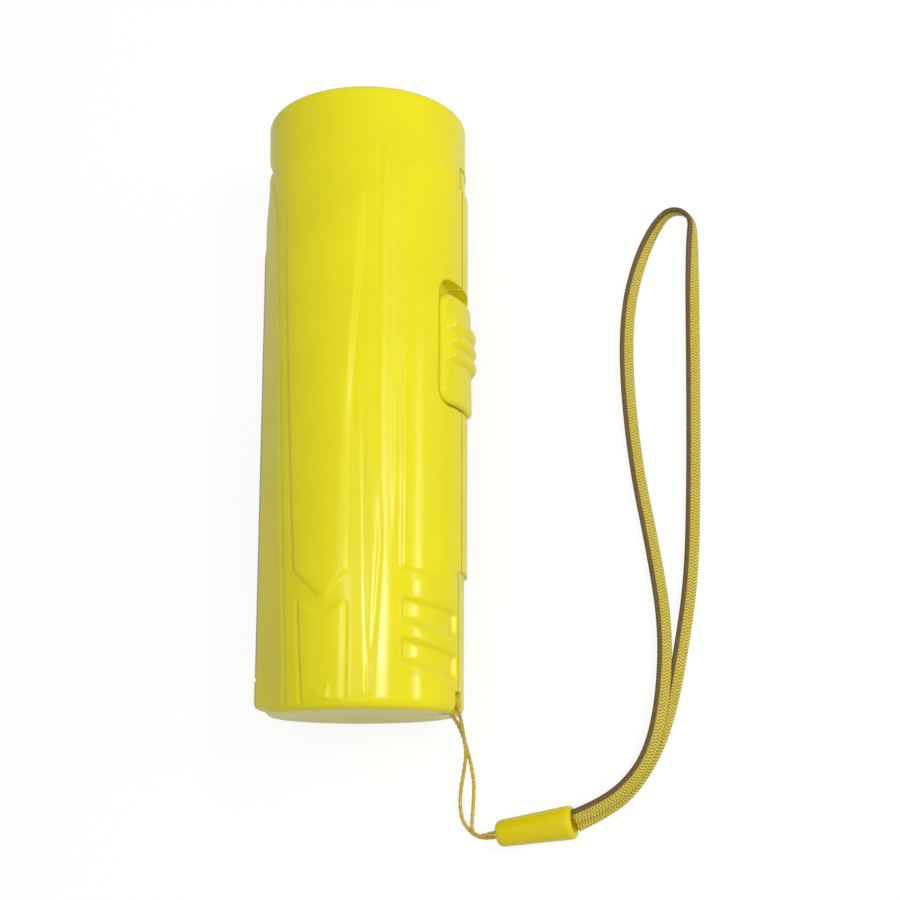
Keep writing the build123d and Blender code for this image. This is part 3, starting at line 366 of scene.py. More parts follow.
# the drawn lines of the relief: (y, turn) pairs for lines along the body, (turn, y) pairs for the others
ARROW_LEFT = [(-35.8, -20.8), (-18.3, -23.5), (-2.2, -25.8), (24.1, -28.7), (50, -30.5)]
ARROW_INNER = [(-36.1, 8.7), (-23.4, 8.5), (-7.5, 9.3), (9.4, 12.8), (21.4, 15.9), (50, 20.0)]
ARROW_OUTER = [(-36.5, 13.5), (-23.5, 13.7), (-7.6, 14.3), (9.3, 16.1), (21.4, 19.2), (50, 24.0)]
ARROW_LOW = [
    (-40, -31), (-20.8, -35.8), (-4.6, -40.9), (-0.3, -41.1), (8.8, -37.4), (13.5, -36.5), (30, -36),
]
BAND_LINE = [
    (-29.6, -60.6), (-30.1, -52), (-33.1, -31.4), (-36.5, -1.4), (-40, 25), (-42, 38.4),
    (-45.6, 43.7), (-52.3, 47.7), (-62.3, 51.2), (-75, 52.6), (-90, 53.2),
]
BAND_TOP = [(-90, 53.2), (-75, 52.6), (-62.3, 51.2), (-52.3, 47.7), (-45.6, 43.7), (-42, 38.4)]
WEDGE_LEFT = [(20.2, 4), (20.7, -15.4), (22.0, -42.3), (23.9, -58.9)]
WEDGE_RIGHT = [(29.4, -20), (30.0, -31), (28.0, -42.3), (24.9, -55.1), (24.3, -58.9)]
OUTER_LEFT = [(-60, 30.5), (-7.6, 28.5), (16.1, 29.2), (46.8, 30.7)]
MID_LEFT = [(-60, 37), (-7.4, 36.8), (16.4, 37.4), (45.8, 36.7)]
INNER_LEFT = [(-36, 42.2), (-23, 42.4), (-7.3, 41.8), (45.3, 41.3)]
OUTER_TOP = [(26, 44.5), (28.5, 47.2), (31.2, 49.4), (37.7, 51.2), (45.2, 52.4), (60, 53.6), (90, 54.5)]
MID_TOP = [(34, 44), (36.8, 46.6), (40.1, 48.2), (47.3, 49.5), (57.2, 50.9), (70, 52), (90, 53)]
INNER_TOP = [(39, 43.2), (42, 44.9), (46, 46), (50.5, 46.7), (59.1, 47.3), (88.2, 49.3), (97, 49.6)]
INNER_LOW = [(41.3, -35.8), (51.7, -36.4), (68.4, -37.0), (84.0, -38.0), (97, -38.4)]
HOLLOWS = (
    ([(42.7, -41.4), (50.5, -41.6), (59.2, -42.0), (82.8, -42.9)],
     [(42.7, -45.3), (60.7, -46.4), (82.8, -47.3)]),
    ([(42.7, -48.8), (50.6, -49.2), (59.3, -49.8), (82.9, -51.0)],
     [(43.3, -52.8), (60.8, -54.1), (85.7, -55.6)]),
)
TAIL_LEFT = [(-19.1, -41.8), (-17.6, -50.9), (-15.9, -60.4)]
TAIL_RIGHT = [(10.8, -42.8), (10.7, -51.4), (10.4, -59.8)]
TAIL_TOP = [(-19.1, -41.6), (-16.5, -42.2), (-2.0, -45.2), (10.8, -42.0)]


ARROW_HEIGHT, SEAM_PANEL, HOLLOW_DEPTH = 0.48, 0.6, 0.95
TAIL_LIP = -60.15  # a fine lip where the tail's rounding starts


def across(table, turn):
    """A line given by (turn, y) pairs, read at any turn."""
    return np.interp(turn, [a for a, b in table], [b for a, b in table])


def arrow_height(turn, y):
    """The long arrow: a narrow wall on its left with a crease beside it, a wide bevel on its right."""
    left = (turn - along(ARROW_LEFT, y)) * ARC
    width = (along(ARROW_OUTER, y) - along(ARROW_INNER, y)) * ARC
    ramp = np.clip((along(ARROW_OUTER, y) - turn) * ARC / width, 0, 1)
    ramp = 0.6 * ramp + 0.4 * rise(ramp - 0.5)
    low = rise((y - across(ARROW_LOW, turn)) * 0.88, 0.9)
    field = rise(left, 0.9) * ramp * low * (1 - rise(y - 35, 18))
    crease = bell(left + 0.75, 0.45) * rise(y + 36, 2) * (1 - rise(y - 22, 14))
    return ARROW_HEIGHT * field - 0.10 * crease


def wedge_height(turn, y):
    """The wedge between the arrow and the switch panels: two lines that meet at the tail."""
    left = groove(WEDGE_LEFT, turn, y, 0.16, 0.5) * (1 - rise(y + 4, 22))
    right = groove(WEDGE_RIGHT, turn, y, 0.16, 0.5) * (1 - rise(y + 26, 22))
    return left + right


def panel_height(turn, y):
    """The nested panels on the switch side."""
    seam = 1 - rise(turn - 85, 10)
    high = 0.0
    for left_line, top_line, amount, soft, foot in (
        (OUTER_LEFT, OUTER_TOP, 0.17, 1.3, -24), (MID_LEFT, MID_TOP, 0.15, 0.9, -28),
    ):
        shape = rise((turn - along(left_line, y)) * ARC, soft) * rise(across(top_line, turn) - y, 1.1)
        shape = shape * rise(y - foot, 24)
        high = high + amount * np.where(y > 42, shape * seam, shape * rise(y - foot, 24))
    inner = rise((turn - along(INNER_LEFT, y)) * ARC, 1.3)
    top = rise(across(INNER_TOP, turn) - y, 0.8)
    low = rise(y - across(INNER_LOW, turn), 0.8)
    past_cad = np.where((y > 44.5) | (y < -35), seam, 1.0)
    high += 0.30 * inner * top * low * past_cad
    return high - 0.12 * bell(y - across(INNER_LOW, turn) + 0.7, 0.4) * inner * seam


def seam_height(turn, y, high):
    """Towards the seam the panels meet the lower moulding's own panel."""
    side = rise(turn - 84, 8)
    inside = rise(y + 35.2, 0.7) * rise(44.7 - y, 0.7)
    return high * (1 - side) + SEAM_PANEL * inside * side


def hollow_height(turn, y):
    """The two finger hollows: a crisp upper lip, a floor, and a soft rise below."""
    high = 0.0
    for top_edge, low_edge in HOLLOWS:
        upper, lower = across(top_edge, turn), across(low_edge, turn)
        depth = rise(upper - y - 0.25, 0.7) * rise(y - lower + 0.3, 2.2)
        ends = rise((turn - 43.2) * ARC, 1.1) * (1 - rise((turn - 86.2) * ARC, 1.8))
        lip = bell(y - lower + 0.9, 0.8) * rise((turn - 44) * ARC, 2) * (1 - rise((turn - 86) * ARC, 2))
        high = high - HOLLOW_DEPTH * depth * ends + 0.10 * lip
    return high


def tail_height(turn, y):
    """The tail panel between two long grooves, with a small pip and ridge near the tail."""
    high = 0.0
    for line in (TAIL_LEFT, TAIL_RIGHT):
        high = high + groove(line, turn, y, 0.34, 0.42)
    left, right = (along([(b, a) for a, b in line[::-1]], y) for line in (TAIL_LEFT, TAIL_RIGHT))
    panel = rise((turn - left) * ARC, 0.8) * rise((right - turn) * ARC, 0.8)
    panel = panel * rise(across(TAIL_TOP, turn) - y, 0.8) * rise(y + 60.3, 0.6)
    pip = rise(1.1 - np.abs(turn + 2.6) * ARC, 0.5) * rise(0.55 - np.abs(y + 59.4), 0.4)
    ridge = rise(0.28 - np.abs(turn - 1.2) * ARC, 0.3) * rise(1.5 - np.abs(y + 58.9), 0.5)
    return high + 0.24 * panel + 0.22 * pip + 0.16 * ridge


def crease_height(turn, y):
    """The crease along the lamp's flank, and the dip where it runs out at the head."""
    dip = bell(away(BAND_TOP[1:5], turn, y), 1.3) * (1 - rise(turn + 47, 6)) * rise(y - 44, 4)
    return groove(BAND_LINE, turn, y, 0.30, 0.55) - 0.45 * dip * rise(turn + 82, 12)


def relief(turn, y):
    """How far the moulding stands above its plain form, in mm."""
    high = arrow_height(turn, y) + wedge_height(turn, y) + panel_height(turn, y)
    high = seam_height(turn, y, high) + hollow_height(turn, y) + tail_height(turn, y) + crease_height(turn, y)
    return high + 0.10 * bell(y - TAIL_LIP, 0.3)


def flank(turn, y, radius):
    """How far the lamp's flank lies outside or inside the round body."""
    start = np.radians(np.interp(y, [b for a, b in BAND_LINE[:6]], [a for a, b in BAND_LINE[:6]]))
    x0, z0 = radius * np.sin(start), radius * np.cos(start)
    x1, z1 = -BAND_RIM[0], BAND_RIM[1]
    angle = np.radians(np.maximum(turn, BAND_TURN))
    chord = (x0 * z1 - z0 * x1) / (np.sin(angle) * (z1 - z0) - np.cos(angle) * (x1 - x0))
    inside = (turn < np.degrees(start)) * 1.0
    fade_head = rise(43.2 - y, 9.5)
    ends = np.clip((y + 61.9) / 1.7, 0, 1)
    fade_tail = np.sqrt(np.clip(1 - (1 - ends) ** 2, 0, 1))
    past_rim = rise(turn + 72, 12)
    return (chord - radius) * inside * fade_head * fade_tail * np.where(turn < BAND_TURN, past_rim, 1.0)


def skin_radius(turn, y):
    """The skin's outside: full relief within the seams, plain past them where the head's ring closes."""
    radius = base_radius(y)
    fade = np.clip((HALF_LENGTH - 0.9 - np.abs(y)) / 0.8, 0, 1)
    high = relief(turn, y) * fade
    seam_edge = -0.14 * bell((90 - np.abs(turn)) * ARC, 0.28) * (y < 49.5)
    overlap = 0.03 * (np.abs(turn) > 89) * (y > 49.9)
    over = np.abs(turn) > 90.01
    return radius + np.where(over, 0.0, high + flank(turn, y, body_radius(y)) * fade + seam_edge) + overlap


def on_skin(turn, y):
    r = skin_radius(turn, y)
    a = np.radians(turn)
    return np.stack([r * np.sin(a), y, AXIS_Z + r * np.cos(a)], -1)


def rounded_gap(shape, y, z):
    """Distance outside a rounded outline, negative within it."""
    middle, length, width, corner = shape
    u = np.abs(y - middle) - (length - corner)
    v = np.abs(z) - (width - corner)
    return np.hypot(np.maximum(u, 0), np.maximum(v, 0)) + np.minimum(np.maximum(u, v), 0) - corner


def pocket_gap(y, z):
    return rounded_gap(POCKET, y, z)


def carrier_reach(y, z):
    """How far out the carrier's drawn-in outside lies under the skin."""
    return np.sqrt((body_radius(y) - UNDER) ** 2 - z**2)


def skin_kept(turn, y):
    """Positive where the skin is, in mm from its openings."""
    r = skin_radius(turn, y)
    z, x = r * np.cos(np.radians(turn)), r * np.sin(np.radians(turn))
    pocket = np.where(x > 0, pocket_gap(y, z), 9.0)
    notch = np.where(x > 0, np.maximum(y + 58.0, np.abs(z) - 1.7), 9.0)
    return np.minimum(pocket, notch)


def under_skin(turn, y):
    """The turned-in edge of the skin: down the pocket's wall, or into the carrier."""
    p = on_skin(turn, y)
    r = skin_radius(turn, y)
    near = skin_kept(turn, y) < 0.2
    a = np.radians(turn)
    at_end = np.abs(y) > 61.5
    inner = np.where(at_end, r - 0.5, body_radius(y) - 1.7)
    low = np.stack([inner * np.sin(a), y - np.sign(y) * 0.25 * at_end, AXIS_Z + inner * np.cos(a)], -1)
    wall = p.copy()
    beside = np.clip(p[..., 2] - AXIS_Z, -10, 10)
    wall[..., 0] = np.where(y < -50, 15.7, np.minimum(17.85, carrier_reach(y, beside) - 0.05))
    return np.where(near[..., None], wall, low)


def patch(us, vs, allowed, kept, place, under, scale=ARC):
    """Vertices and faces of a fine sheet over a grid of us and vs.

    allowed says which cells are there at all. Within them the sheet stops at kept() = 0: its edge is
    moved onto that line. Every free edge is turned in to under().
    """
    U, V = np.meshgrid(us, vs)
    cell_u, cell_v = (U[:-1, :-1] + U[1:, 1:]) / 2, (V[:-1, :-1] + V[1:, 1:]) / 2
    live = allowed(cell_u, cell_v)
    solid = live & (kept(cell_u, cell_v) > 0)
    cut = live & ~solid
    count_solid = np.zeros(U.shape, int)
    count_cut = np.zeros(U.shape, int)
    for dv in (0, 1):
        for du in (0, 1):
            count_solid[dv:dv + solid.shape[0], du:du + solid.shape[1]] += solid
            count_cut[dv:dv + solid.shape[0], du:du + solid.shape[1]] += cut
    edge = (count_solid > 0) & (count_cut > 0)
    if edge.any():
        eu, ev = U[edge], V[edge]
        small = 0.02
        for _ in range(4):
            d = kept(eu, ev)
            gu = (kept(eu + small / scale, ev) - kept(eu - small / scale, ev)) / (2 * small)
            gv = (kept(eu, ev + small) - kept(eu, ev - small)) / (2 * small)
            size = np.maximum(gu**2 + gv**2, 0.2)
            eu, ev = eu - d * gu / size / scale, ev - d * gv / size
        U[edge], V[edge] = eu, ev
    top = place(U, V)
    low = under(U, V)
    number = -np.ones(U.shape, int)
    used = count_solid > 0
    number[used] = np.arange(used.sum())
    verts = [tuple(p) for p in top[used]]
    faces = []
    rows, cols = np.nonzero(solid)
    for i, j in zip(rows.tolist(), cols.tolist()):
        faces.append((number[i, j], number[i, j + 1], number[i + 1, j + 1], number[i + 1, j]))
    smooth = len(faces)
    # the turned-in edges
    sides = {}
    padded = np.pad(solid, 1)
    for i, j in zip(rows.tolist(), cols.tolist()):
        for di, dj, a, b in ((-1, 0, (i, j), (i, j + 1)), (0, 1, (i, j + 1), (i + 1, j + 1)),
                             (1, 0, (i + 1, j + 1), (i + 1, j)), (0, -1, (i + 1, j), (i, j))):
            if padded[i + 1 + di, j + 1 + dj]:
                continue
            for key in (a, b):
                if key not in sides:
                    sides[key] = len(verts)
                    verts.append(tuple(low[key]))
            faces.append((number[b], number[a], sides[a], sides[b]))
    return verts, [tuple(int(k) for k in f) for f in faces], smooth


def moulding(name, sheet, body, material, close=False):
    """An object from a patch: smooth over its face, crisp where its edges turn in, closed if asked."""
    verts, faces, smooth = sheet
    mesh = bpy.data.meshes.new(name)
    mesh.from_pydata([(x * MM, y * MM, z * MM) for x, y, z in verts], [], faces)
    shape = bmesh.new()
    shape.from_mesh(mesh)
    shape.faces.ensure_lookup_table()
    for number, face in enumerate(shape.faces):
        face.smooth = number < smooth
    for edge in shape.edges:
        if len({face.smooth for face in edge.link_faces}) > 1:
            edge.smooth = False
    if close:
        bmesh.ops.holes_fill(shape, edges=[e for e in shape.edges if e.is_boundary], sides=0)
    shape.to_mesh(mesh)
    shape.free()
    obj = bpy.data.objects.new(name, mesh)
    scene.collection.objects.link(obj)
    mesh.materials.append(mats[material])
    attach(obj, body)
    return obj


def spread(start, end, step):
    return np.linspace(start, end, int(round(abs(end - start) / step)) + 1)


def joined(*runs):
    return np.concatenate([runs[0]] + [run[1:] for run in runs[1:]])


rounding = RIM_ROUND * np.sin(np.radians(spread(0, 90, 9)))
turns = joined(
    spread(-97, -90, 1.4), spread(-90, BAND_TURN, 1.15), spread(BAND_TURN, 90, 0.8), spread(90, 97, 1.4),
)
lengths = joined(
    -HALF_LENGTH + RIM_ROUND - rounding[::-1], spread(-HALF_LENGTH + RIM_ROUND, -58, 0.3),
    spread(-58, SKIN_HEAD, 0.36), spread(SKIN_HEAD, 50, 0.36), spread(50, HALF_LENGTH - RIM_ROUND, 0.5),
    HALF_LENGTH - RIM_ROUND + rounding,
)


def skin_there(turn, y):
    """Where the sheet runs: the upper half without the lamp's strip, and the head's full ring."""
    side = (turn > BAND_TURN) | (y > SKIN_HEAD) | (y < -HALF_LENGTH + RIM_ROUND)
    return side & ((np.abs(turn) < 90) | (y > 50))


sheet = patch(turns, lengths, skin_there, skin_kept, on_skin, under_skin)
moulding("upper_skin", sheet, "housing", "body_yellow")

# the shell that carries the skin: the CAD shell with its outside drawn in under it
carrier = bpy.data.objects.new("upper_carrier", nodes["upper_shell"].data.copy())
scene.collection.objects.link(carrier)
spots = np.array([v.co[:] for v in carrier.data.vertices]) / MM
x, y, z = spots[:, 0], spots[:, 1], spots[:, 2] - AXIS_Z
turn, reach = np.degrees(np.arctan2(x, z)), np.hypot(x, z)
region = (np.abs(turn) < 89.9) & ((turn > BAND_TURN + 0.05) | (y > SKIN_HEAD) | (y < -60.45))
gap = np.where(x > 0, rounded_gap(CARRIER_POCKET, y, z), 9)
drawn = region & (reach > body_radius(y) - UNDER) & (gap > 0.06)
shrink = np.where(drawn, (body_radius(y) - UNDER) / reach, 1.0)
spots[:, 0], spots[:, 2] = x * shrink, AXIS_Z + z * shrink
spots[region & (np.abs(gap) < 0.06) & (x > 18.3), 0] = 18.0  # the pocket's rim, just under the slider
for vertex, spot in zip(carrier.data.vertices, spots):
    vertex.co = spot * MM
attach(carrier, "housing")
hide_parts("upper_shell")

# ---------------------------------------------------------------- the slide switch's thumb piece
SLIDER = (8.8, 11.4, 8.4, 2.8)  # as POCKET: middle, half length, half width and corner
SLIDER_FOOT = 18.02
RIBS_FROM, RIB_STEP, RIB_COUNT = 6.0, 3.15, 3
PAD_REACH, RIB_HEIGHT, SLIDER_EDGE = 21.45, 0.98, 0.9


def slider_inside(u, y):
    return -rounded_gap(SLIDER, y, u)


def slider_top(u, y):
    share = np.clip((y - RIBS_FROM) / RIB_STEP, 0, RIB_COUNT)
    zone = rise(y - RIBS_FROM + 0.1, 0.9) * rise(RIBS_FROM + RIB_COUNT * RIB_STEP + 0.1 - y, 0.9)
    rib = np.abs(np.sin(pi * share)) ** 0.6
    reach = PAD_REACH + zone * rise(7.0 - np.abs(u), 2.4) * (0.12 + RIB_HEIGHT * rib)
    edge = np.clip(1 - slider_inside(u, y) / SLIDER_EDGE, 0, 1)
    reach = reach - SLIDER_EDGE * (1 - np.sqrt(1 - edge**2))
    return np.stack([np.sqrt(reach**2 - u**2), y, AXIS_Z - u], -1)


def slider_under(u, y):
    top = slider_top(u, y)
    top[..., 0] = SLIDER_FOOT
    return top


middle, length, width, corner = SLIDER
sheet = patch(spread(-width, width, 0.25), spread(middle - length, middle + length, 0.2),
              lambda u, y: u < 99, slider_inside, slider_top, slider_under, scale=1.0)
slider = moulding("switch_thumb", sheet, "switch", "body_yellow", close=True)
# the stem under it, which reaches the switch's lever
stem = [(x, y, AXIS_Z + z) for x in (15.95, 18.1) for y in (6.3, 11.3) for z in (-2.0, 2.0)]
stem_faces = [(0, 1, 3, 2), (4, 6, 7, 5), (0, 4, 5, 1), (2, 3, 7, 6), (0, 2, 6, 4), (1, 5, 7, 3)]
shape = bmesh.new()
shape.from_mesh(slider.data)
corners = [shape.verts.new((x * MM, y * MM, z * MM)) for x, y, z in stem]
for face in stem_faces:
    shape.faces.new([corners[k] for k in face])
shape.to_mesh(slider.data)
shape.free()
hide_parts("switch_slider")

# ---------------------------------------------------------------- cords
def spline(name, points):
    """The cord's own line: a smooth NURBS spline through its control points."""
    data = bpy.data.curves.new(name, "CURVE")
    data.dimensions = "3D"
    data.resolution_u = 16
    line = data.splines.new("NURBS")
    line.points.add(len(points) - 1)
    for point, (x, y, z) in zip(line.points, points):
        point.co = (x * MM, y * MM, z * MM, 1)
    line.order_u = 3
    line.use_endpoint_u = True
    obj = bpy.data.objects.new(name, data)
    scene.collection.objects.link(obj)
    return obj


def follow(name, points, step):
    """Evenly spaced points along a cord's spline, in metres, and the distance along it of each."""
    curve = spline(name, points)
    bpy.context.view_layer.update()
    mesh = bpy.data.meshes.new_from_object(curve)
    line = np.array([v.co[:] for v in mesh.vertices])
    bpy.data.meshes.remove(mesh)
    bpy.data.objects.remove(curve)
    run = np.concatenate([[0], np.cumsum(np.linalg.norm(np.diff(line, axis=0), axis=1))])
    count = int(run[-1] / (step * MM)) + 1
    at = np.linspace(0, run[-1], count)
    return np.stack([np.interp(at, run, line[:, k]) for k in range(3)], 1), at


def swept(name, path, at, section, facing, over):
    """A mesh along a path.

    section(distance) gives (sideways, outwards) points in mm, facing(distance) a turn, and over the place
    across the cord of each point, which with the distance makes the UV map.
    """
    tangents = np.gradient(path, axis=0)
    tangents /= np.linalg.norm(tangents, axis=1)[:, None]
    rings, uvs = [], []
    for place, tangent, distance in zip(path, tangents, at):
        flat = np.cross((0, 0, 1.0), tangent)
        flat /= np.linalg.norm(flat)
        upright = np.cross(tangent, flat)
        turn = facing(distance)
        side = flat * cos(turn) + upright * sin(turn)
        out = upright * cos(turn) - flat * sin(turn)
        points = section(distance)
        rings.append([place + side * x * MM + out * z * MM for x, z in points])
        uvs.append(distance)
    around = len(rings[0])
    verts = [tuple(v) for ring in rings for v in ring]
    faces = []
    for i in range(len(rings) - 1):
        for j in range(around):
            k = (j + 1) % around
            faces.append((i * around + j, i * around + k, (i + 1) * around + k, (i + 1) * around + j))
    faces.append(tuple(range(around))[::-1])
    faces.append(tuple((len(rings) - 1) * around + j for j in range(around)))
    mesh = bpy.data.meshes.new(name)
    mesh.from_pydata(verts, [], faces)
    layer = mesh.uv_layers.new(name="along")
    for poly in mesh.polygons:
        for loop in poly.loop_indices:
            vertex = mesh.loops[loop].vertex_index
            i, j = divmod(vertex, around)
            layer.data[loop].uv = (over[j], uvs[i] / MM)
        poly.use_smooth = True
    obj = bpy.data.objects.new(name, mesh)
    scene.collection.objects.link(obj)
    return obj


THIN_ROUTE = [
    (21.7, -84.55, 2.1), (19.1, -84.95, 1.0), (16.7, -84.6, 0.5), (14.9, -83.2, 0.5), (13.6, -81.4, 0.5),
    (13.2, -78.2, 0.6), (13.7, -75.0, 1.2), (15.2, -71.0, 3.2), (16.1, -68.6, 5.0), (16.9, -65.9, 8.6),
    (17.9, -63.6, 13.0), (18.7, -61.4, 17.2), (18.7, -58.9, 19.0), (16.3, -58.9, 19.0), (16.4, -61.0, 17.6),
    (17.0, -63.3, 12.6), (16.6, -65.9, 7.9), (16.3, -68.6, 4.3), (16.3, -71.0, 2.4), (16.3, -74.1, 0.8),
    (16.1, -77.3, 0.5), (15.8, -80.8, 0.6), (15.8, -83.4, 1.4), (17.3, -84.6, 1.7), (19.3, -84.2, 2.2),
    (21.7, -83.7, 3.1),
]
BRAID_ROUTE = [
    (37.2, -81.1, 3.9), (41.5, -79.6, 3.6), (47.6, -75.8, 3.0), (52.4, -69.6, 2.7), (55.2, -59.5, 2.6),
    (56.2, -45.5, 1.6), (54.4, -30.5, 1.1), (51.4, -12.0, 1.1), (50.2, 8.0, 1.1), (51.2, 22.0, 1.1),
    (54.3, 32.0, 1.3), (57.5, 37.8, 1.6), (59.8, 40.5, 1.65), (61.5, 41.2, 1.65), (63.3, 40.9, 1.65),
    (64.7, 39.8, 1.65), (65.5, 38.2, 1.65), (65.3, 34.7, 1.5), (64.9, 28.0, 1.2), (64.4, 16.0, 1.1),
    (63.9, 3.0, 1.1), (62.9, -18.0, 1.1), (61.6, -36.0, 1.1), (58.8, -50.5, 1.1), (56.4, -60.5, 1.1),
    (53.3, -68.8, 1.1), (48.2, -76.2, 1.1), (42.6, -80.2, 1.6), (37.4, -82.5, 2.3),
]

# the thin cord: two strands laid round each other
THIN_RADIUS = 0.4
THIN_SIDES = 14
LAY_LENGTH = 1.5
thin_path, thin_at = follow("thin_route", THIN_ROUTE, 0.12)


def thin_section(distance):
    lay = 2 * pi * distance / MM / LAY_LENGTH
    points = []
    for j in range(THIN_SIDES):
        angle = 2 * pi * j / THIN_SIDES
        radius = THIN_RADIUS * (0.7 + 0.3 * abs(cos(angle - lay / 2)))
        points.append((radius * cos(angle), radius * sin(angle)))
    return points


thin_over = [j / THIN_SIDES for j in range(THIN_SIDES)]
thin_cord = swept("thin_cord", thin_path, thin_at, thin_section, lambda distance: 0.0, thin_over)
n = Nodes("cord_yellow")
plies = n.noise(2400, 3, 0.6)
colour = n.blend(n.ramp(plies, 0, 1), rgba(srgb(190, 152, 30)), rgba(srgb(226, 200, 74)))
mats["cord_yellow"] = n.finish(Base_Color=colour, Roughness=0.62, Sheen_Weight=0.3,
                               Normal=n.bump(plies, 0.6, 0.05))
thin_cord.data.materials.append(mats["cord_yellow"])
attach(thin_cord, "housing")
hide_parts("strap_thin_cord")

# the braid: a flat woven band that turns from its face to its edge as it goes
BRAID_WIDTH = 2.8
BRAID_THICKNESS = 1.05
braid_path, braid_at = follow("braid_route", BRAID_ROUTE, 0.3)
BRAID_SIDES = 28
rim = []
for j in range(BRAID_SIDES):
    angle = 2 * pi * (j + 0.5) / BRAID_SIDES
    c, s = cos(angle), sin(angle)
    x = BRAID_WIDTH / 2 * abs(c) ** 0.75 * (1 if c > 0 else -1)
    z = BRAID_THICKNESS / 2 * abs(s) ** 0.6 * (1 if s > 0 else -1)
    rim.append((x, z))
# the turn of the band about its own line, by share of its length: a half twist over the loop's top
TURNS = [
    (0.0, 0.3), (0.12, 0.25), (0.3, 0.3), (0.43, 0.3), (0.475, 0.9), (0.505, 1.55), (0.535, 2.3),
    (0.58, 2.9), (0.75, 2.95), (0.9, 2.9), (1.0, 2.95),
]


def braid_turn(distance):
    share = distance / braid_at[-1]
    return float(np.interp(share, [t for t, a in TURNS], [a for t, a in TURNS]))


RIB_PITCH = 0.62


def braid_section(distance):
    """The band's rounded section, raised a little where a thread crosses over."""
    points = []
    for x, z in rim:
        lean = abs(((x / BRAID_WIDTH + 0.5) * 4) % 2 - 1)
        wave = 0.5 + 0.5 * cos(2 * pi * (distance / MM / RIB_PITCH + lean * 0.9))
        edge = 1 + 0.02 * wave
        points.append((x * edge, z * (0.88 + 0.16 * wave)))
    return points


braid = swept("braid", braid_path, braid_at, braid_section, braid_turn, [x for x, z in rim])
n = Nodes("braid_yellow")
uv = n.make("UVMap", {"uv_map": "along"}).outputs[0]
split = n.make("SeparateXYZ")
n.put(split.inputs[0], uv)
sideways, lengthways = split.outputs[0], split.outputs[1]
column = n.math("MULTIPLY", n.math("ADD", n.math("DIVIDE", sideways, BRAID_WIDTH), 0.5), 4.0)
lean = n.math("ABSOLUTE", n.math("SUBTRACT", n.math("MODULO", column, 2.0), 1.0))
phase = n.math("ADD", n.math("DIVIDE", lengthways, RIB_PITCH), n.math("MULTIPLY", lean, 0.9))
wave = n.math("COSINE", n.math("MULTIPLY", phase, 2 * pi))
thread = n.ramp(wave, 0.0, 1.0, -0.7, 0.5)
# painted shade: the colour is darkened where a thread dips under and in the gaps between the thread columns
between = n.ramp(n.math("ABSOLUTE", n.math("SUBTRACT", n.math("FRACT", column), 0.5)), 0.0, 0.45, 0.38, 0.5)
dark = n.math("MAXIMUM", n.math("SUBTRACT", 1.0, thread), between)
fibre = n.noise(3200, 3, 0.65)
yellow = n.blend(n.ramp(fibre, 0, 1), rgba(srgb(206, 184, 34)), rgba(srgb(238, 222, 80)))
woven_painted_shade = n.blend(n.math("MULTIPLY", dark, 0.72), yellow, rgba(srgb(112, 82, 12)))
# painted shade: one edge of the band is painted dark brown, standing in for the shade on the side turned from
# the light
painted_side_shade = n.ramp(n.math("ADD", sideways, n.math("MULTIPLY", wave, 0.07)), 0.0, 1.0, 0.42, 0.56)
side_shade_brown = n.blend(n.ramp(fibre, 0, 1), rgba(srgb(58, 38, 6)), rgba(srgb(104, 78, 24)))
colour = n.blend(n.math("MULTIPLY", painted_side_shade, 0.93), woven_painted_shade, side_shade_brown)
mats["braid_yellow"] = n.finish(Base_Color=colour, Roughness=n.ramp(fibre, 0.45, 0.65), Sheen_Weight=0.2,
                                Normal=n.bump(n.math("ADD", wave, fibre), 0.5, 0.05))
braid.data.materials.append(mats["braid_yellow"])
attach(braid, "housing")
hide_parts("strap_braid")

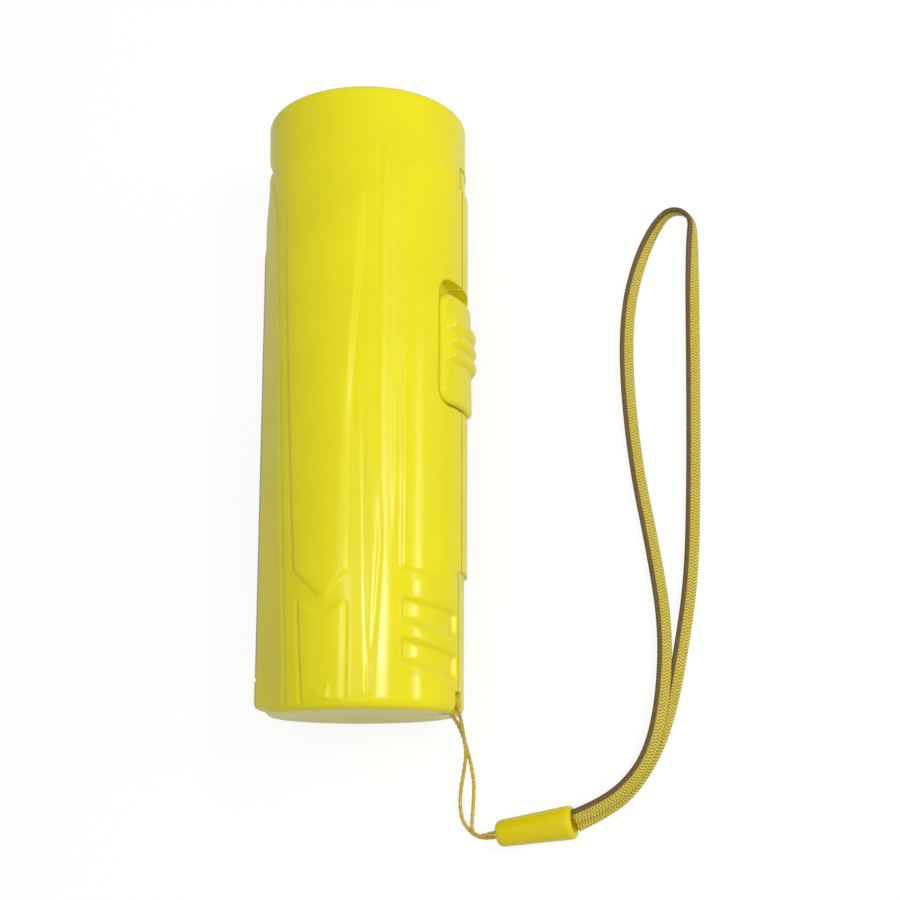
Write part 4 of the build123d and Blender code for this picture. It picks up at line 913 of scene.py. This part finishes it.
# the ferrule: a tapered moulding with rounded ends, through which the cord and the braid are drawn
small = Vector((21.7, -84.1, 2.6))
big = Vector((37.25, -82.0, 3.3))
way = (big - small).normalized()
FERRULE_PROFILE = [
    (0.0, 0.9), (0.0, 1.7), (0.15, 2.15), (0.5, 2.45), (1.1, 2.58), (4.0, 2.72), (8.0, 2.9), (12.0, 3.08),
    (14.3, 3.2), (15.1, 3.16), (15.5, 2.95), (15.68, 2.5), (15.68, 1.9), (15.3, 1.7), (13.6, 1.6), (13.6, 0.0),
]
side = way.cross(Vector((0, 0, 1))).normalized()
up = side.cross(way)
SEGMENTS = 64
verts, faces = [], []
for reach, radius in FERRULE_PROFILE:
    for j in range(SEGMENTS):
        a = 2 * pi * j / SEGMENTS
        verts.append((small + way * reach + side * radius * cos(a) + up * radius * sin(a)) * MM)
for i in range(len(FERRULE_PROFILE) - 1):
    for j in range(SEGMENTS):
        k = (j + 1) % SEGMENTS
        faces.append((i * SEGMENTS + j, i * SEGMENTS + k, (i + 1) * SEGMENTS + k, (i + 1) * SEGMENTS + j))
faces.append(tuple(range(SEGMENTS))[::-1])
mesh = bpy.data.meshes.new("ferrule")
mesh.from_pydata([tuple(v) for v in verts], [], faces)
for poly in mesh.polygons:
    poly.use_smooth = True
ferrule = bpy.data.objects.new("ferrule", mesh)
scene.collection.objects.link(ferrule)
mesh.materials.append(mats["ferrule_yellow"])
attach(ferrule, "housing")
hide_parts("strap_ferrule")

# ---------------------------------------------------------------- floor
FLOOR_SIZE, FLOOR_DROP = 4, 0.0001  # in metres
bpy.ops.mesh.primitive_plane_add(size=FLOOR_SIZE, location=(0, 0, -FLOOR_DROP))
floor = bpy.context.object
floor.name = "floor"
# matte where it lights, glowing to white for the camera and a little for mirrors, clear from below
n = Nodes("floor")
ray = n.make("LightPath")
seen_by = n.math("MAXIMUM", n.math("MULTIPLY", ray.outputs["Is Camera Ray"], 0.78),
                 n.math("MULTIPLY", ray.outputs["Is Glossy Ray"], 0.15))
matte = n.make("BsdfDiffuse", Color=(0.8, 0.8, 0.8, 1))
glow = n.make("Emission", Color=(1, 1, 1, 1), Strength=1.1)
share = n.make("MixShader")
n.put(share.inputs[0], seen_by)
n.put(share.inputs[1], matte.outputs[0])
n.put(share.inputs[2], glow.outputs[0])
clear = n.make("BsdfTransparent")
both = n.make("MixShader")
n.put(both.inputs[0], n.make("NewGeometry").outputs["Backfacing"])
n.put(both.inputs[1], share.outputs[0])
n.put(both.inputs[2], clear.outputs[0])
end = n.make("OutputMaterial")
n.put(end.inputs["Surface"], both.outputs[0])
floor.data.materials.append(n.material)
